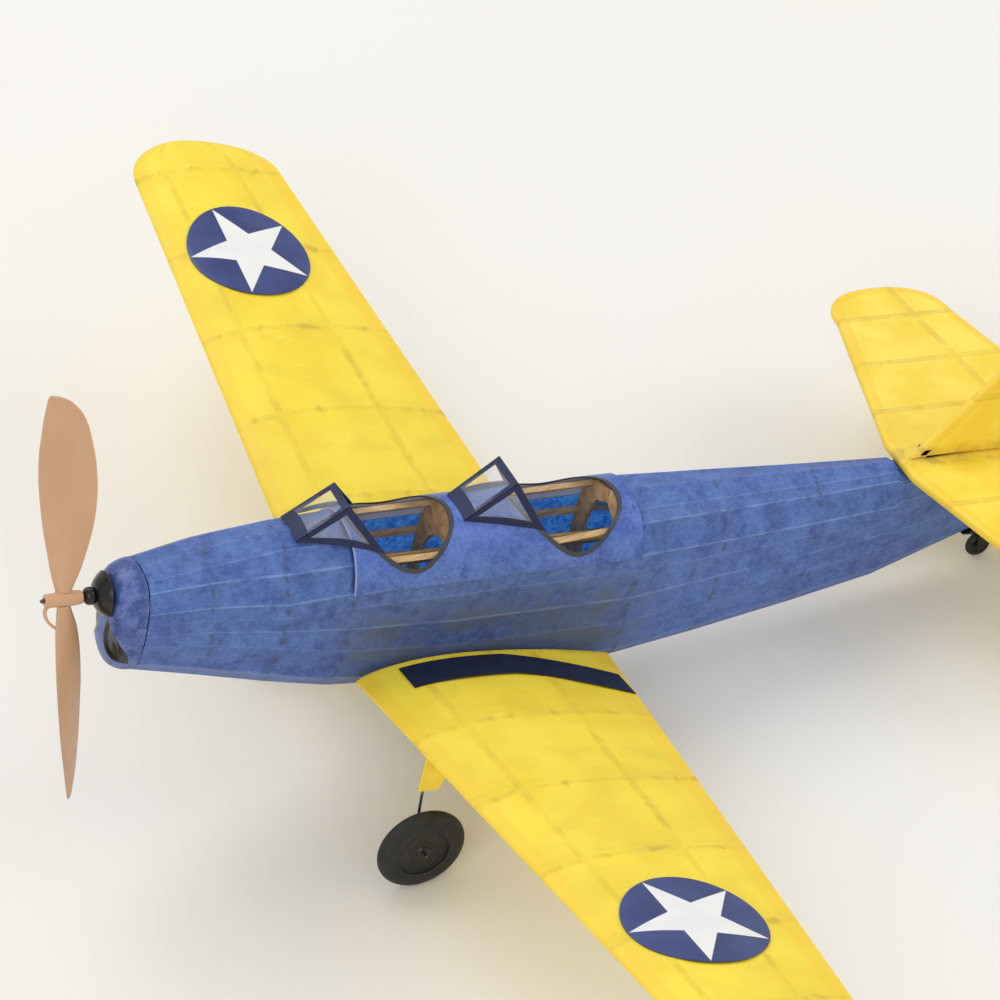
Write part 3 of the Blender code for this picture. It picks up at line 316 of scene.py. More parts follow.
def wire_rings(path, radius, sides=16):
    """Rings of a round wire along a path."""
    path = np.asarray(path, float)
    side = None
    rings = []
    for k, point in enumerate(path):
        run = Vector(path[min(k + 1, len(path) - 1)] - path[max(k - 1, 0)]).normalized()
        side = run.orthogonal().normalized() if side is None else (side - run * side.dot(run)).normalized()
        other = run.cross(side)
        ring = []
        for j in range(sides):
            turn = 2 * pi * j / sides
            ring.append(tuple(Vector(point) + (side * cos(turn) + other * sin(turn)) * radius))
        rings.append(ring)
    return rings


# Material helpers


def linear(colour):
    shares = [c / 255 for c in colour]
    return (*[s / 12.92 if s <= 0.04045 else ((s + 0.055) / 1.055) ** 2.4 for s in shares], 1.0)


class Look:
    """A procedural material. Patterns read "place", in millimetres, or the object's own coordinates."""

    def __init__(self, name, place=True):
        self.material = bpy.data.materials.new(name)
        self.material.use_nodes = True
        self.tree = self.material.node_tree
        self.shader = self.tree.nodes["Principled BSDF"]
        if place:
            self.place = self.attribute("place", "Vector")
        else:
            spots = self.tree.nodes.new("ShaderNodeTexCoord").outputs["Object"]
            self.place = self.stretch(spots, (1000, 1000, 1000))
        split = self.tree.nodes.new("ShaderNodeSeparateXYZ")
        self.tree.links.new(self.place, split.inputs[0])
        self.x, self.y, self.z = split.outputs

    def attribute(self, name, output="Fac"):
        node = self.tree.nodes.new("ShaderNodeAttribute")
        node.attribute_name = name
        return node.outputs[output]

    def feed(self, socket, value):
        if isinstance(value, bpy.types.NodeSocket):
            self.tree.links.new(value, socket)
        elif isinstance(value, tuple) and len(value) == 3 and socket.type == "RGBA":
            socket.default_value = linear(value)
        else:
            socket.default_value = value

    def math(self, operation, first, second=0.0):
        node = self.tree.nodes.new("ShaderNodeMath")
        node.operation = operation
        self.feed(node.inputs[0], first)
        self.feed(node.inputs[1], second)
        return node.outputs[0]

    def stretch(self, vector, scale):
        node = self.tree.nodes.new("ShaderNodeVectorMath")
        node.operation = "MULTIPLY"
        self.feed(node.inputs[0], vector)
        node.inputs[1].default_value = scale
        return node.outputs[0]

    def noise(self, size, detail=3.0, scale=(1, 1, 1), warp=0.0, grit=0.5):
        """Noise whose blobs are about size millimetres across, from 0 to 1 round 0.5."""
        node = self.tree.nodes.new("ShaderNodeTexNoise")
        node.inputs["Scale"].default_value = 1.0 / size
        node.inputs["Detail"].default_value = detail
        node.inputs["Distortion"].default_value = warp
        node.inputs["Roughness"].default_value = grit
        self.feed(node.inputs["Vector"], self.stretch(self.place, scale))
        return node.outputs["Fac"]

    def ramp(self, value, low, high, start=0.0, end=1.0):
        node = self.tree.nodes.new("ShaderNodeMapRange")
        node.interpolation_type = "SMOOTHSTEP"
        for socket, number in zip(node.inputs, (value, low, high, start, end)):
            self.feed(socket, number)
        return node.outputs[0]

    def band(self, value, centre, half, soft=0.3):
        """1 within half of centre, fading to 0."""
        away = self.size(self.less(value, centre))
        return self.ramp(away, half, half + soft, 1.0, 0.0)

    def plus(self, first, second):
        return self.math("ADD", first, second)

    def less(self, first, second):
        return self.math("SUBTRACT", first, second)

    def size(self, value):
        return self.math("ABSOLUTE", value)

    def times(self, *values):
        found = values[0]
        for value in values[1:]:
            found = self.math("MULTIPLY", found, value)
        return found

    def most(self, *values):
        found = values[0]
        for value in values[1:]:
            found = self.math("MAXIMUM", found, value)
        return found

    def mix(self, share, first, second):
        node = self.tree.nodes.new("ShaderNodeMix")
        node.data_type = "RGBA"
        self.feed(node.inputs[0], share)
        self.feed(node.inputs[6], first)
        self.feed(node.inputs[7], second)
        return node.outputs[2]

    def tones(self, pattern, first, second, low=0.3, high=0.7):
        """Two colours, the second where the pattern is high."""
        return self.mix(self.ramp(pattern, low, high), first, second)

    def over(self, share, colour):
        """Lays a colour over the look's own colour, as strongly as the share says."""
        self.colour = self.mix(share, self.colour, colour)

    def done(self, roughness, height=None, depth=0.1):
        self.feed(self.shader.inputs["Base Color"], self.colour)
        self.feed(self.shader.inputs["Roughness"], roughness)
        if height is not None:
            node = self.tree.nodes.new("ShaderNodeBump")
            node.inputs["Strength"].default_value = 1.0
            node.inputs["Distance"].default_value = depth * 0.001
            self.feed(node.inputs["Height"], height)
            self.feed(self.shader.inputs["Normal"], node.outputs[0])
        return self.material


# Materials


def blue_tissue(name, inside=False):
    """Hand-dyed blue tissue: mottled, paler along the sticks with a painted highlight on their ridges,
    dirtier over the formers, and with painted shade and reflected yellow light low on the sides over the wing
    root.
    """
    look = Look(name)
    cloud = look.noise(8.0, 8.0, grit=0.7)
    fibre = look.noise(1.6, 6.0, (0.8, 1, 1), grit=0.7)
    speck = look.noise(0.5, 3.0)
    if inside:
        # The inside is brighter blue with pale specks and glows a little through emission: painted light
        # shining through the tissue.
        look.colour = look.tones(fibre, (24, 82, 168), (66, 132, 206), 0.35, 0.65)
        look.over(look.ramp(speck, 0.6, 0.75), (140, 188, 230))
        look.feed(look.shader.inputs["Emission Color"], look.colour)
        look.shader.inputs["Emission Strength"].default_value = 0.4
        return look.done(0.7, fibre, 0.05)
    look.colour = look.tones(cloud, (50, 77, 148), (84, 117, 184), 0.32, 0.68)
    look.over(look.ramp(fibre, 0.4, 0.7, 0.0, 0.35), (112, 142, 202))
    look.over(look.ramp(speck, 0.5, 0.3, 0.0, 0.4), (38, 58, 124))
    # Low on the sides over the wing root: painted shade and yellow light thrown up from the wing, as a grey
    # tint broken up by noise.
    low = look.ramp(look.z, 2.0, -14.0)
    middle = look.band(look.x, 112.0, 38.0, 25.0)
    blotches = look.ramp(look.noise(8.0, 5.0), 0.38, 0.66, 0.25, 0.75)
    look.over(look.times(low, middle, blotches), (76, 84, 90))
    # Paler along the sticks: partly the stick under the tissue, partly a painted highlight on each ridge,
    # strongest on the upper corners.
    edge = look.attribute("corner")
    look.over(look.times(edge, look.ramp(cloud, 0.35, 0.6, 0.25, 0.7)), (132, 162, 214))
    former = look.attribute("former")
    broken = look.ramp(look.noise(3.2, 4.0), 0.48, 0.62)
    look.over(look.times(former, broken, 0.7), (52, 60, 70))
    rough = look.ramp(cloud, 0.3, 0.7, 0.4, 0.56)
    wrinkle = look.plus(look.times(fibre, 0.5), look.noise(5.0, 3.0))
    return look.done(rough, wrinkle, 0.16)


def blue_card():
    """Painted card of the deck, smoother than the tissue, with a dark painted edge round each cockpit."""
    look = Look("blue_card_painted")
    cloud = look.noise(10.0, 8.0, grit=0.7)
    fibre = look.noise(1.2, 6.0, grit=0.7)
    look.colour = look.tones(cloud, (48, 77, 160), (84, 116, 193), 0.36, 0.64)
    look.over(look.ramp(fibre, 0.42, 0.7, 0.0, 0.4), (122, 148, 214))
    rim = look.ramp(look.attribute("rim"), 1.35, 1.65, 1.0, 0.0)
    front = look.band(look.x, DECK[0], 0.3, 0.3)
    look.over(look.times(front, 0.6), (168, 182, 214))
    look.over(rim, (58, 60, 64))
    rough = look.ramp(cloud, 0.3, 0.7, 0.36, 0.5)
    return look.done(rough, look.plus(cloud, look.times(fibre, 0.4)), 0.1)


def nose_paint():
    """Brushed blue on the nose block, with the two intakes in gloss black."""
    look = Look("nose_block_paint")
    drift = look.noise(6.0, 8.0, grit=0.7)
    fine = look.noise(1.0, 4.0, grit=0.7)
    look.colour = look.tones(drift, (48, 72, 138), (92, 114, 176), 0.38, 0.62)
    look.over(look.ramp(fine, 0.5, 0.72, 0.0, 0.4), (140, 160, 206))
    across = look.less(look.size(look.y), INTAKE[0])
    rise = look.less(look.z, INTAKE[1])
    cosine, sine = cos(INTAKE[4]), sin(INTAKE[4])
    narrow = look.plus(look.times(across, cosine), look.times(rise, sine))
    along = look.less(look.times(rise, cosine), look.times(across, sine))
    slim = look.times(look.size(narrow), 1 / INTAKE[2])
    long = look.times(along, along, 1 / INTAKE[3] ** 2)
    front = look.ramp(look.x, -2.6, -2.9)
    dark = look.times(front, look.ramp(look.plus(slim, long), 0.98, 1.04, 1.0, 0.0))
    look.over(dark, look.tones(drift, (10, 10, 12), (20, 20, 22)))
    rough = look.ramp(dark, 0.0, 1.0, 0.42, 0.2)
    return look.done(rough, look.plus(drift, look.times(fine, 0.5)), 0.12)


def plain(name, first, second, size, roughness, depth=0.03, metal=0.0):
    """Two close tones drifting into each other, with fine unevenness."""
    look = Look(name, False)
    drift = look.noise(size, 4.0)
    fine = look.noise(size * 0.13, 3.0)
    look.colour = look.tones(drift, first, second)
    look.shader.inputs["Metallic"].default_value = metal
    rough = look.ramp(fine, 0.3, 0.7, roughness * 0.85, roughness * 1.15)
    return look.done(rough, fine, depth)


def wood(name, pale, dark, along=(0.08, 1, 1)):
    look = Look(name, False)
    grain = look.noise(0.9, 4.0, along, 0.4)
    tone = look.noise(9.0, 2.0)
    look.colour = look.tones(grain, pale, dark, 0.35, 0.7)
    look.over(look.ramp(tone, 0.4, 0.7, 0.0, 0.3), dark)
    return look.done(0.72, grain, 0.04)


def yellow_wing():
    """Yellow tissue over the wing, with the frame showing through as darker, dirty lines."""
    look = Look("yellow_wing_tissue")
    cloud = look.noise(22.0, 4.0)
    fibre = look.noise(1.8, 5.0, (0.5, 1, 1), 0.6)
    patchiness = look.noise(7.0, 5.0, (1, 0.6, 1), 0.8)
    chord = look.attribute("chord")
    ahead = look.attribute("ahead")
    behind = look.attribute("behind")
    look.colour = look.tones(cloud, (244, 214, 52), (253, 226, 66))
    look.over(look.ramp(fibre, 0.55, 0.8, 0.0, 0.4), (255, 236, 120))
    blotches = look.ramp(look.noise(16.0, 5.0), 0.5, 0.72, 0.0, 0.4)
    look.over(blotches, (228, 202, 62))
    edges = look.most(look.ramp(ahead, 3.6, 5.2, 1.0, 0.0), look.ramp(behind, 5.6, 6.6, 1.0, 0.0))
    look.over(look.times(edges, 0.3), (248, 196, 44))
    bays = look.math("DIVIDE", look.less(look.y, ROOT_Y), BAY)
    rib_away = look.times(look.size(look.less(bays, look.math("ROUND", bays))), BAY)
    rib = look.ramp(rib_away, 0.7, 1.3, 1.0, 0.0)
    spars = [look.band(chord, place, 0.012, 0.01) for place in SPARS]
    lines = look.times(look.most(rib, *spars), look.ramp(patchiness, 0.35, 0.65, 0.05, 0.34))
    look.over(lines, (206, 168, 44))
    smudge_rib = look.times(look.ramp(rib_away, 1.0, 3.0, 1.0, 0.0), look.ramp(patchiness, 0.55, 0.68))
    smudge_spar = look.times(look.band(chord, SPARS[1], 0.02, 0.03), look.ramp(patchiness, 0.54, 0.66), 0.5)
    look.over(look.times(look.most(smudge_rib, smudge_spar), 0.28), (168, 140, 62))
    sink = look.times(look.ramp(rib_away, 0.6, 5.0), -0.6)
    height = look.plus(look.plus(sink, look.times(fibre, 0.2)), look.times(cloud, 0.8))
    return look.done(look.ramp(cloud, 0.3, 0.7, 0.42, 0.56), height, 0.35)


def yellow_tail():
    """Yellow tissue over the tail surfaces. "edge" marks the solid strip round their outline."""
    look = Look("yellow_tail_tissue")
    cloud = look.noise(16.0, 4.0)
    fibre = look.noise(1.8, 5.0, (0.5, 1, 1), 0.6)
    patchiness = look.noise(6.0, 5.0, (1, 1, 1), 0.8)
    look.colour = look.tones(cloud, (246, 214, 62), (254, 230, 92))
    look.over(look.ramp(fibre, 0.55, 0.8, 0.0, 0.35), (255, 238, 130))
    look.over(look.times(look.attribute("edge"), 0.45), (248, 200, 48))
    lines = tail_lines(look)
    look.over(look.times(lines, look.ramp(patchiness, 0.35, 0.65, 0.12, 0.4)), (204, 170, 72))
    # Where the fin meets the stabiliser: painted shade in the corner, brown and broken up by noise.
    root_corner_shade = look.times(look.band(look.y, 0.0, 3.5, 3.0), look.band(look.z, 16.0, 2.4, 2.5))
    look.over(look.times(root_corner_shade, look.ramp(patchiness, 0.4, 0.6, 0.05, 0.35)), (146, 122, 72))
    height = look.plus(look.times(lines, 0.7), look.times(cloud, 0.6))
    return look.done(0.5, height, 0.25)


def tail_lines(look):
    """Where the ribs and spars of the stabiliser and the fin lie under the tissue."""
    away = look.size(look.y)
    spar_x = look.less(STAB_SPAR[0], look.times(away, STAB_SPAR[1]))
    spar = look.band(look.less(look.x, spar_x), 0.0, 0.9, 0.5)
    ribs = [look.band(away, place, 0.8, 0.5) for place in STAB_RIBS]
    levels = [look.band(look.z, place, 0.8, 0.5) for place in FIN_RIBS]
    return look.most(spar, *ribs, *levels)


def insignia():
    """A navy disc with a white five-pointed star, one tip pointing forward."""
    look = Look("insignia_print")
    across = look.less(look.x, DISC[0])
    along = look.less(look.y, DISC[1])
    radius = look.math("SQRT", look.plus(look.times(across, across), look.times(along, along)))
    turn = look.math("ARCTAN2", along, look.times(across, -1.0))
    fifth = 2 * pi / 5
    share = look.math("DIVIDE", turn, fifth)
    folded = look.times(look.size(look.less(share, look.math("ROUND", share))), fifth)
    # the star's edge runs from an outer tip to an inner corner, both in polar coordinates
    outer, half = DISC[2] * 0.985, fifth / 2
    notch_x, notch_y = outer * 0.382 * cos(half), outer * 0.382 * sin(half)
    facing = atan2(outer - notch_x, notch_y)
    away = look.less(folded, facing)
    distance = look.less(outer * cos(facing), look.times(radius, look.math("COSINE", away)))
    star = look.ramp(distance, -0.12, 0.12)
    drift = look.noise(12.0, 3.0)
    navy = look.tones(drift, (44, 58, 112), (60, 74, 128))
    look.colour = look.mix(star, navy, look.tones(drift, (240, 240, 236), (232, 234, 234)))
    return look.done(0.32, look.noise(9.0, 3.0), 0.12)


def clear_sheet():
    look = Look("clear_acetate_sheet", False)
    drift = look.noise(9.0, 3.0)
    look.shader.inputs["IOR"].default_value = 1.46
    look.feed(look.shader.inputs["Alpha"], look.ramp(drift, 0.3, 0.7, 0.07, 0.13))
    look.colour = look.tones(drift, (222, 228, 232), (238, 240, 240))
    return look.done(0.07, drift, 0.02)


def make_looks():
    return {
        "tissue": blue_tissue("blue_tissue_outside"),
        "tissue_inside": blue_tissue("blue_tissue_inside_glowing", True),
        "card": blue_card(),
        "card_inside": plain("card_underside", (226, 228, 232), (238, 238, 236), 8.0, 0.7),
        "rim": plain("dark_edge_paint", (48, 50, 54), (64, 66, 70), 4.0, 0.5),
        "nose": nose_paint(),
        "dark": plain("black_gap_shadow", (8, 8, 9), (16, 16, 18), 5.0, 0.18),
        "wing": yellow_wing(),
        "tail": yellow_tail(),
        "yellow_card": plain("yellow_painted_balsa", (244, 208, 40), (252, 222, 66), 6.0, 0.55, 0.06),
        "navy": plain("navy_print", (20, 24, 46), (28, 33, 60), 7.0, 0.42, 0.04),
        "frame_navy": plain("windscreen_navy_print", (8, 20, 62), (14, 30, 78), 5.0, 0.55, 0.04),
        "insignia": insignia(),
        "clear": clear_sheet(),
        "tan": plain("tan_moulding", (199, 155, 117), (207, 164, 127), 20.0, 0.42, 0.03),
        "black": plain("black_moulding", (12, 12, 13), (20, 20, 22), 6.0, 0.2, 0.02),
        "tyre": plain("tyre_rubber", (24, 24, 25), (36, 36, 36), 4.0, 0.62, 0.06),
        "wire": plain("steel_wire_drawn", (88, 88, 90), (120, 120, 122), 3.0, 0.34, 0.02, metal=1.0),
        "motor": plain("rubber_strip_tan", (150, 112, 66), (176, 138, 88), 5.0, 0.6, 0.05),
        "hardwood": wood("hardwood_dowel", (176, 128, 80), (142, 98, 58), (1, 0.1, 1)),
        "balsa": wood("balsa_bare", (222, 190, 142), (190, 150, 102)),
        "ply": wood("ply_bare", (206, 168, 118), (170, 128, 84), (1, 0.2, 0.2)),
    }


# Fuselage


def section_at(x):
    return [np.interp(x, SECTIONS[:, 0], SECTIONS[:, k]) for k in range(1, 7)]


def section_point(x, degrees, inset=0.0):
    """(y, z) on the right half of the section at x."""
    half_width, middle, top, bottom, upper, lower = section_at(x)
    turn = radians(degrees)
    power = 2.0 / (upper if degrees >= 0 else lower)
    reach = (top - middle if degrees >= 0 else middle - bottom) - inset
    rise = reach * abs(sin(turn)) ** power
    across = (half_width - inset) * abs(cos(turn)) ** power
    return np.array((across, middle + (rise if degrees >= 0 else -rise)))


def deck_height(x, y, proud=0.5):
    """Height of the fuselage's top at (x, y)."""
    half_width, middle, top, bottom, upper, lower = section_at(x)
    share = min(abs(y) / (half_width + proud), 1.0)
    return middle + (top - middle + proud) * (1 - share**upper) ** (1 / upper)


def skin_ring(x):
    """One ring of the tissue: flat between the sticks, sinking a little between sticks and formers."""
    after = int(np.clip(np.searchsorted(FORMERS, x), 1, len(FORMERS) - 1))
    share = (x - FORMERS[after - 1]) / (FORMERS[after] - FORMERS[after - 1])
    pillow = sin(pi * min(max(share, 0.0), 1.0)) ** 0.6
    angles = [np.interp(x, *UPPER_DRIFT) if a is None else a for a in CORNERS]
    spots = [section_point(x, angle) for angle in angles]
    spots[0][0] = 0.0
    spots[-1][0] = 0.0
    half, edge = [], []
    for corner, (first, second) in enumerate(zip(spots, spots[1:])):
        run = second - first
        length = float(np.hypot(*run))
        inward = np.array((run[1], -run[0])) / max(length, 1e-6)
        for t in FACET_PLACES:
            sag = 4 * t * (1 - t) * min(length * 0.028, 0.5) * (0.35 + 0.65 * pillow)
            half.append(first + run * t + inward * sag)
            edge.append(CORNER_PALING_AND_HIGHLIGHT[corner] if t == 0.0 else 0.0)
    half.append(spots[-1])
    edge.append(0.3)
    ring = [(x, y, z) for y, z in half] + [(x, -y, z) for y, z in reversed(half[1:-1])]
    return ring, edge + edge[-2:0:-1]


def fuselage_skin(looks):
    steps = len(FACET_PLACES)
    stations = [0.3, 0.8]
    for first, second in zip(FORMERS, FORMERS[1:]):
        count = max(int((second - first) / 1.8), 2)
        stations += list(np.linspace(first, second, count + 1)[1:])
    stations = sorted(set(round(x, 3) for x in stations) | {254.4})
    rings, edges, formers = [], [], []
    for x in stations:
        ring, edge = skin_ring(x)
        rings.append(ring)
        edges.append(edge)
        near = min(abs(x - place) for place in (19.5, 41.4, 62.4, 188.0, 223.0, 157.1))
        formers.append([max(0.0, 1.0 - near / 2.2)] * len(ring))
    columns = len(rings[0])
    faces = []
    for face in grid_faces(len(rings), columns, True):
        row, column = face[0] // columns, face[0] % columns
        under_deck = 62.3 < stations[row] < 157.0
        if under_deck and (column < 3 * steps or column >= columns - 3 * steps):
            continue
        faces.append(face)
    shape = Shape().add(rings, faces)
    values = {"corner": np.ravel(edges), "former": np.ravel(formers)}
    skins = [looks["tissue"], looks["tissue_inside"]]
    thing = piece("fuselage_tissue", shape, skins, ["fuselage_covering"], sharp=60, values=values)
    loose = bmesh.new()
    loose.from_mesh(thing.data)
    bmesh.ops.delete(loose, geom=[v for v in loose.verts if not v.link_faces], context="VERTS")
    loose.to_mesh(thing.data)
    loose.free()
    thicken = thing.modifiers.new("tissue", "SOLIDIFY")
    thicken.thickness = 0.00025
    thicken.offset = -1.0
    thicken.material_offset = 1


def opening_outline(front, middle, rear, left, right, count=96):
    points = []
    for k in range(count):
        turn = 2 * pi * k / count
        length = middle - front if cos(turn) < 0 else rear - middle
        reach = right if sin(turn) > 0 else left
        points.append((middle + length * cos(turn), reach * sin(turn)))
    return points


def cut_with(thing, cutters):
    """Cuts with other meshes and keeps only the result."""
    for cutter in cutters:
        change = thing.modifiers.new("cut", "BOOLEAN")
        change.operation = "DIFFERENCE"
        change.solver = "EXACT"
        change.object = cutter
    graph = bpy.context.evaluated_depsgraph_get()
    result = bpy.data.meshes.new_from_object(thing.evaluated_get(graph))
    thing.modifiers.clear()
    thing.data = result
    for cutter in cutters:
        bpy.data.objects.remove(cutter, do_unlink=True)


def cutter(points, faces, pick, looks):
    mesh = new_mesh("cutter", points, faces, [pick] * len(faces), looks, DESIGN, 30)
    thing = bpy.data.objects.new("cutter", mesh)
    bpy.context.scene.collection.objects.link(thing)
    return thing


def cockpit_deck(looks):
    """The card over the cockpits, with two openings whose edges are painted dark."""
    stations = np.linspace(DECK[0], DECK[1], 84)
    half = np.linspace(90.0, DECK[2], 46)
    grids = []
    for inset in (-0.5, -0.06):
        grid = []
        for x in stations:
            row = [section_point(x, degrees, inset) for degrees in half]
            row[0][0] = 0.0
            grid.append([(x, -y, z) for y, z in reversed(row)] + [(x, y, z) for y, z in row[1:]])
        grids.append(grid)
    shape = Shape().sheet(*grids, under=1)
    skins = [looks["card"], looks["card_inside"], looks["rim"]]
    deck = piece("deck_card", shape, skins, ["cockpit_deck"])
    cutters = []
    rim = []
    for opening in COCKPITS:
        outline = opening_outline(*opening)
        count = len(outline)
        points = [(x, y, z) for z in (0.0, 40.0) for x, y in outline]
        faces = [(k, (k + 1) % count, count + (k + 1) % count, count + k) for k in range(count)]
        faces += [tuple(range(count)), tuple(range(count, 2 * count))]
        cutters.append(cutter(points, faces, 2, skins))
        rim += [(x, y, deck_height(x, y)) for x, y in opening_outline(*opening, count=480)]
    cut_with(deck, cutters)
    mesh = deck.data
    spots = np.array([v.co for v in mesh.vertices])
    table = np.array(DESIGN.inverted())
    drawn = spots @ table[:3, :3].T + table[:3, 3]
    away = [float(np.sqrt(((np.array(rim) - spot) ** 2).sum(1).min())) for spot in drawn]
    for name in ("place", "rim"):
        if name in mesh.attributes:
            mesh.attributes.remove(mesh.attributes[name])
    store(mesh, "place", "FLOAT_VECTOR", drawn)
    store(mesh, "rim", "FLOAT", away)
    mesh.set_sharp_from_angle(angle=radians(38))


def strip(shape, lower, upper, thickness, pick=0):
    """A thin solid strip between two rows of points."""
    lower, upper = np.asarray(lower, float), np.asarray(upper, float)
    run = lower[-1] - lower[0]
    normal = np.cross(run, upper[0] - lower[0])
    normal = normal / np.linalg.norm(normal) * thickness / 2
    rings = [(a - normal, a + normal, b + normal, b - normal) for a, b in zip(lower, upper)]
    shape.tube(rings, pick)


def toward(start, goal, distance):
    start, goal = np.asarray(start, float), np.asarray(goal, float)
    return start + (goal - start) / np.linalg.norm(goal - start) * distance


def windscreen(label, base, top, foot, looks):
    """A sloping front and two side triangles of clear sheet, edged with navy strips."""
    frame_shape, pane_shape = Shape(), Shape()
    across = np.linspace(-1, 1, 13)
    low = [np.array((base[0] + 0.12 * (1 - s * s), base[1] * s, deck_height(base[0], base[1] * s) + 0.1))
           for s in across]
    high = [np.array((top[0], top[1] * s, top[2])) for s in across]
    strip(frame_shape, low, [toward(a, b, 4.1) for a, b in zip(low, high)], 0.46)
    strip(frame_shape, [toward(b, a, 2.3) for a, b in zip(low, high)], high, 0.42)
    strip(pane_shape, low, high, 0.2)
    for side in (-1, 1):
        corner, peak = low[0 if side < 0 else -1], high[0 if side < 0 else -1]
        inner = [p + np.array((0, -side * 1.5, 0)) for p in (corner, peak)]
        strip(frame_shape, [corner, peak], inner, 0.38)
        rear = np.array((foot[0], side * foot[1], deck_height(foot[0], foot[1]) + 0.1))
        edge = []
        for t in np.linspace(0, 1, 13):
            x, y = corner[0] + (rear[0] - corner[0]) * t, corner[1] + (rear[1] - corner[1]) * t
            edge.append(np.array((x, y, deck_height(x, y) + 0.1)))
        strip(frame_shape, edge, [toward(p, peak, 2.2 * min(1, 8 * (1 - abs(2 * t - 1)) + 0.6))
                                  for p, t in zip(edge, np.linspace(0, 1, 13))], 0.46)
        strip(frame_shape, [corner, peak], [toward(corner, rear, 1.8), toward(peak, rear, 1.5)], 0.42)
        strip(frame_shape, [rear, peak], [toward(rear, corner, 3.0), toward(peak, corner, 2.3)], 0.38)
        strip(pane_shape, edge, [toward(p, peak, np.linalg.norm(p - peak) - 0.05) for p in edge], 0.2)
    screen = f"{label}_windscreen"
    piece(f"{screen}_strips", frame_shape, [looks["frame_navy"]], [f"{screen}_frame"])
    piece(f"{screen}_sheet", pane_shape, [looks["clear"]], [f"{screen}_pane"])


# Nose, propeller and motor


def nose_ring(x, share, drop=0.0, count=144):
    half_width, middle, top, bottom, upper, lower = section_at(0.0)
    centre = (top + bottom) / 2
    ring = []
    for k in range(count):
        turn = 2 * pi * k / count
        power = 2.0 / (upper if sin(turn) >= 0 else lower)
        reach = top - middle if sin(turn) >= 0 else middle - bottom
        y = half_width * copysign(abs(cos(turn)) ** power, cos(turn))
        z = middle + reach * copysign(abs(sin(turn)) ** power, sin(turn))
        ring.append((x, y * share, centre + drop + (z - centre) * share))
    return ring


def intake_measure(y, z):
    """Below 1 inside an intake: an almond leaning in towards the button at its top."""
    across = abs(y) - INTAKE[0]
    rise = z - INTAKE[1]
    narrow = across * cos(INTAKE[4]) + rise * sin(INTAKE[4])
    along = rise * cos(INTAKE[4]) - across * sin(INTAKE[4])
    return abs(narrow) / INTAKE[2] + (along / INTAKE[3]) ** 2


def nose_block(looks):
    """The rounded block with two dark hollows, a black ring behind it as painted shadow in the gap at the
    joint, and the plug that holds it.
    """
    rounding = ((-0.05, 1.0), (-2.5, 0.985), (-5.0, 0.93), (-7.0, 0.84), (-8.4, 0.68), (-8.9, 0.5))
    rings = [nose_ring(x, share, 2.0 * (1.0 - share)) for x, share in smooth_rows(rounding, 10)]
    rings += [nose_ring(-8.9 - 0.1 * s, 0.5 * (1 - s) + 0.01, 1.0) for s in np.linspace(0.04, 1.0, 24)]
    sunk = []
    for ring in rings:
        depths = [0.7 * min(max(1.0 - intake_measure(y, z), 0.0) / 0.5, 1.0) for x, y, z in ring]
        sunk.append([(x + depth, y, z) for (x, y, z), depth in zip(ring, depths)])
    shape = Shape().tube(sunk)
    piece("nose_block_painted", shape, [looks["nose"]], ["nose_block"], "nose", sharp=60)
    # A black ring in the gap between block and fuselage: painted shadow for the dark gap at the joint.
    joint = Shape().tube([nose_ring(x, share) for x, share in ((-0.5, 0.965), (0.5, 0.965), (0.6, 0.9))], 1)
    plug = [[(x, 5.6 * cos(t), -4.0 + 8.0 * sin(t)) for t in round_angles(72)] for x in (0.4, 3.8, 4.2)]
    joint.tube(plug)
    piece("nose_gap_shadow_and_plug", joint, [looks["balsa"], looks["dark"]], [], "nose")


def rounded(points, steps=6):
    return [tuple(row) for row in smooth_rows(points, steps)]


def nose_fittings(looks):
    profile = [(0.8, -12.9)] + rounded(((2.0, -13.1), (3.2, -12.8), (4.4, -12.2), (5.5, -11.3), (6.3, -10.5)))
    profile += rounded(((6.7, -10.0), (6.95, -9.6), (6.75, -9.2))) + [(2.4, -9.1), (2.4, 4.6), (0.8, 4.6)]
    shape = Shape().turn(profile)
    piece("nose_button_moulded", shape, [looks["black"]], ["nose_button"], "nose")
    half = 2.0
    profile = [(0.8, -half)]
    for k in range(25):
        turn = radians(-78 + 156 * k / 24)
        profile.append((0.9 + 1.8 * cos(turn), half * sin(turn)))
    profile.append((0.8, half))
    shape = Shape().turn(profile, (-14.2, 0, 0))
    piece("thrust_bead_moulded", shape, [looks["black"]], ["thrust_bead"], "shaft")
    front = HUB_FRONT - 0.2
    path = [(front, -0.3, 0.8), (front, -0.2, 0.4), (front + 0.4, 0, 0), (-16, 0, 0), (-5, 0, 0), (5.2, 0, 0),
            (6.6, 0, 0.5), (8.0, 0, 1.6), (10.0, 0, 2.0), (11.6, 0, 1.2), (11.8, 0, -0.6), (10.6, 0, -1.8),
            (8.8, 0, -1.9)]
    shape = Shape().tube(wire_rings(smooth_rows(path, 8), 0.58))
    piece("shaft_wire", shape, [looks["wire"]], ["prop_shaft"], "shaft")


def blade_rings(flip):
    rings = []
    around = round_angles(32)
    for radius, ahead, behind, thickness, degrees in smooth_rows(BLADE, 7):
        angle = radians(degrees)
        chord = np.array((-sin(angle), cos(angle), 0.0))
        across = np.array((cos(angle), sin(angle), 0.0))
        middle = np.array((PROP_X, 0.0, radius)) + chord * (ahead - behind) / 2
        ring = []
        for turn in around:
            out = (ahead + behind) / 2 * cos(turn)
            up = thickness / 2 * sin(turn) * abs(sin(turn)) ** 0.25
            ring.append(middle + chord * out + across * up)
        rings.append(ring)
    turn = np.array(Matrix.Rotation(flip - PROP_TURN, 3, "X"))
    return np.array(rings) @ turn.T


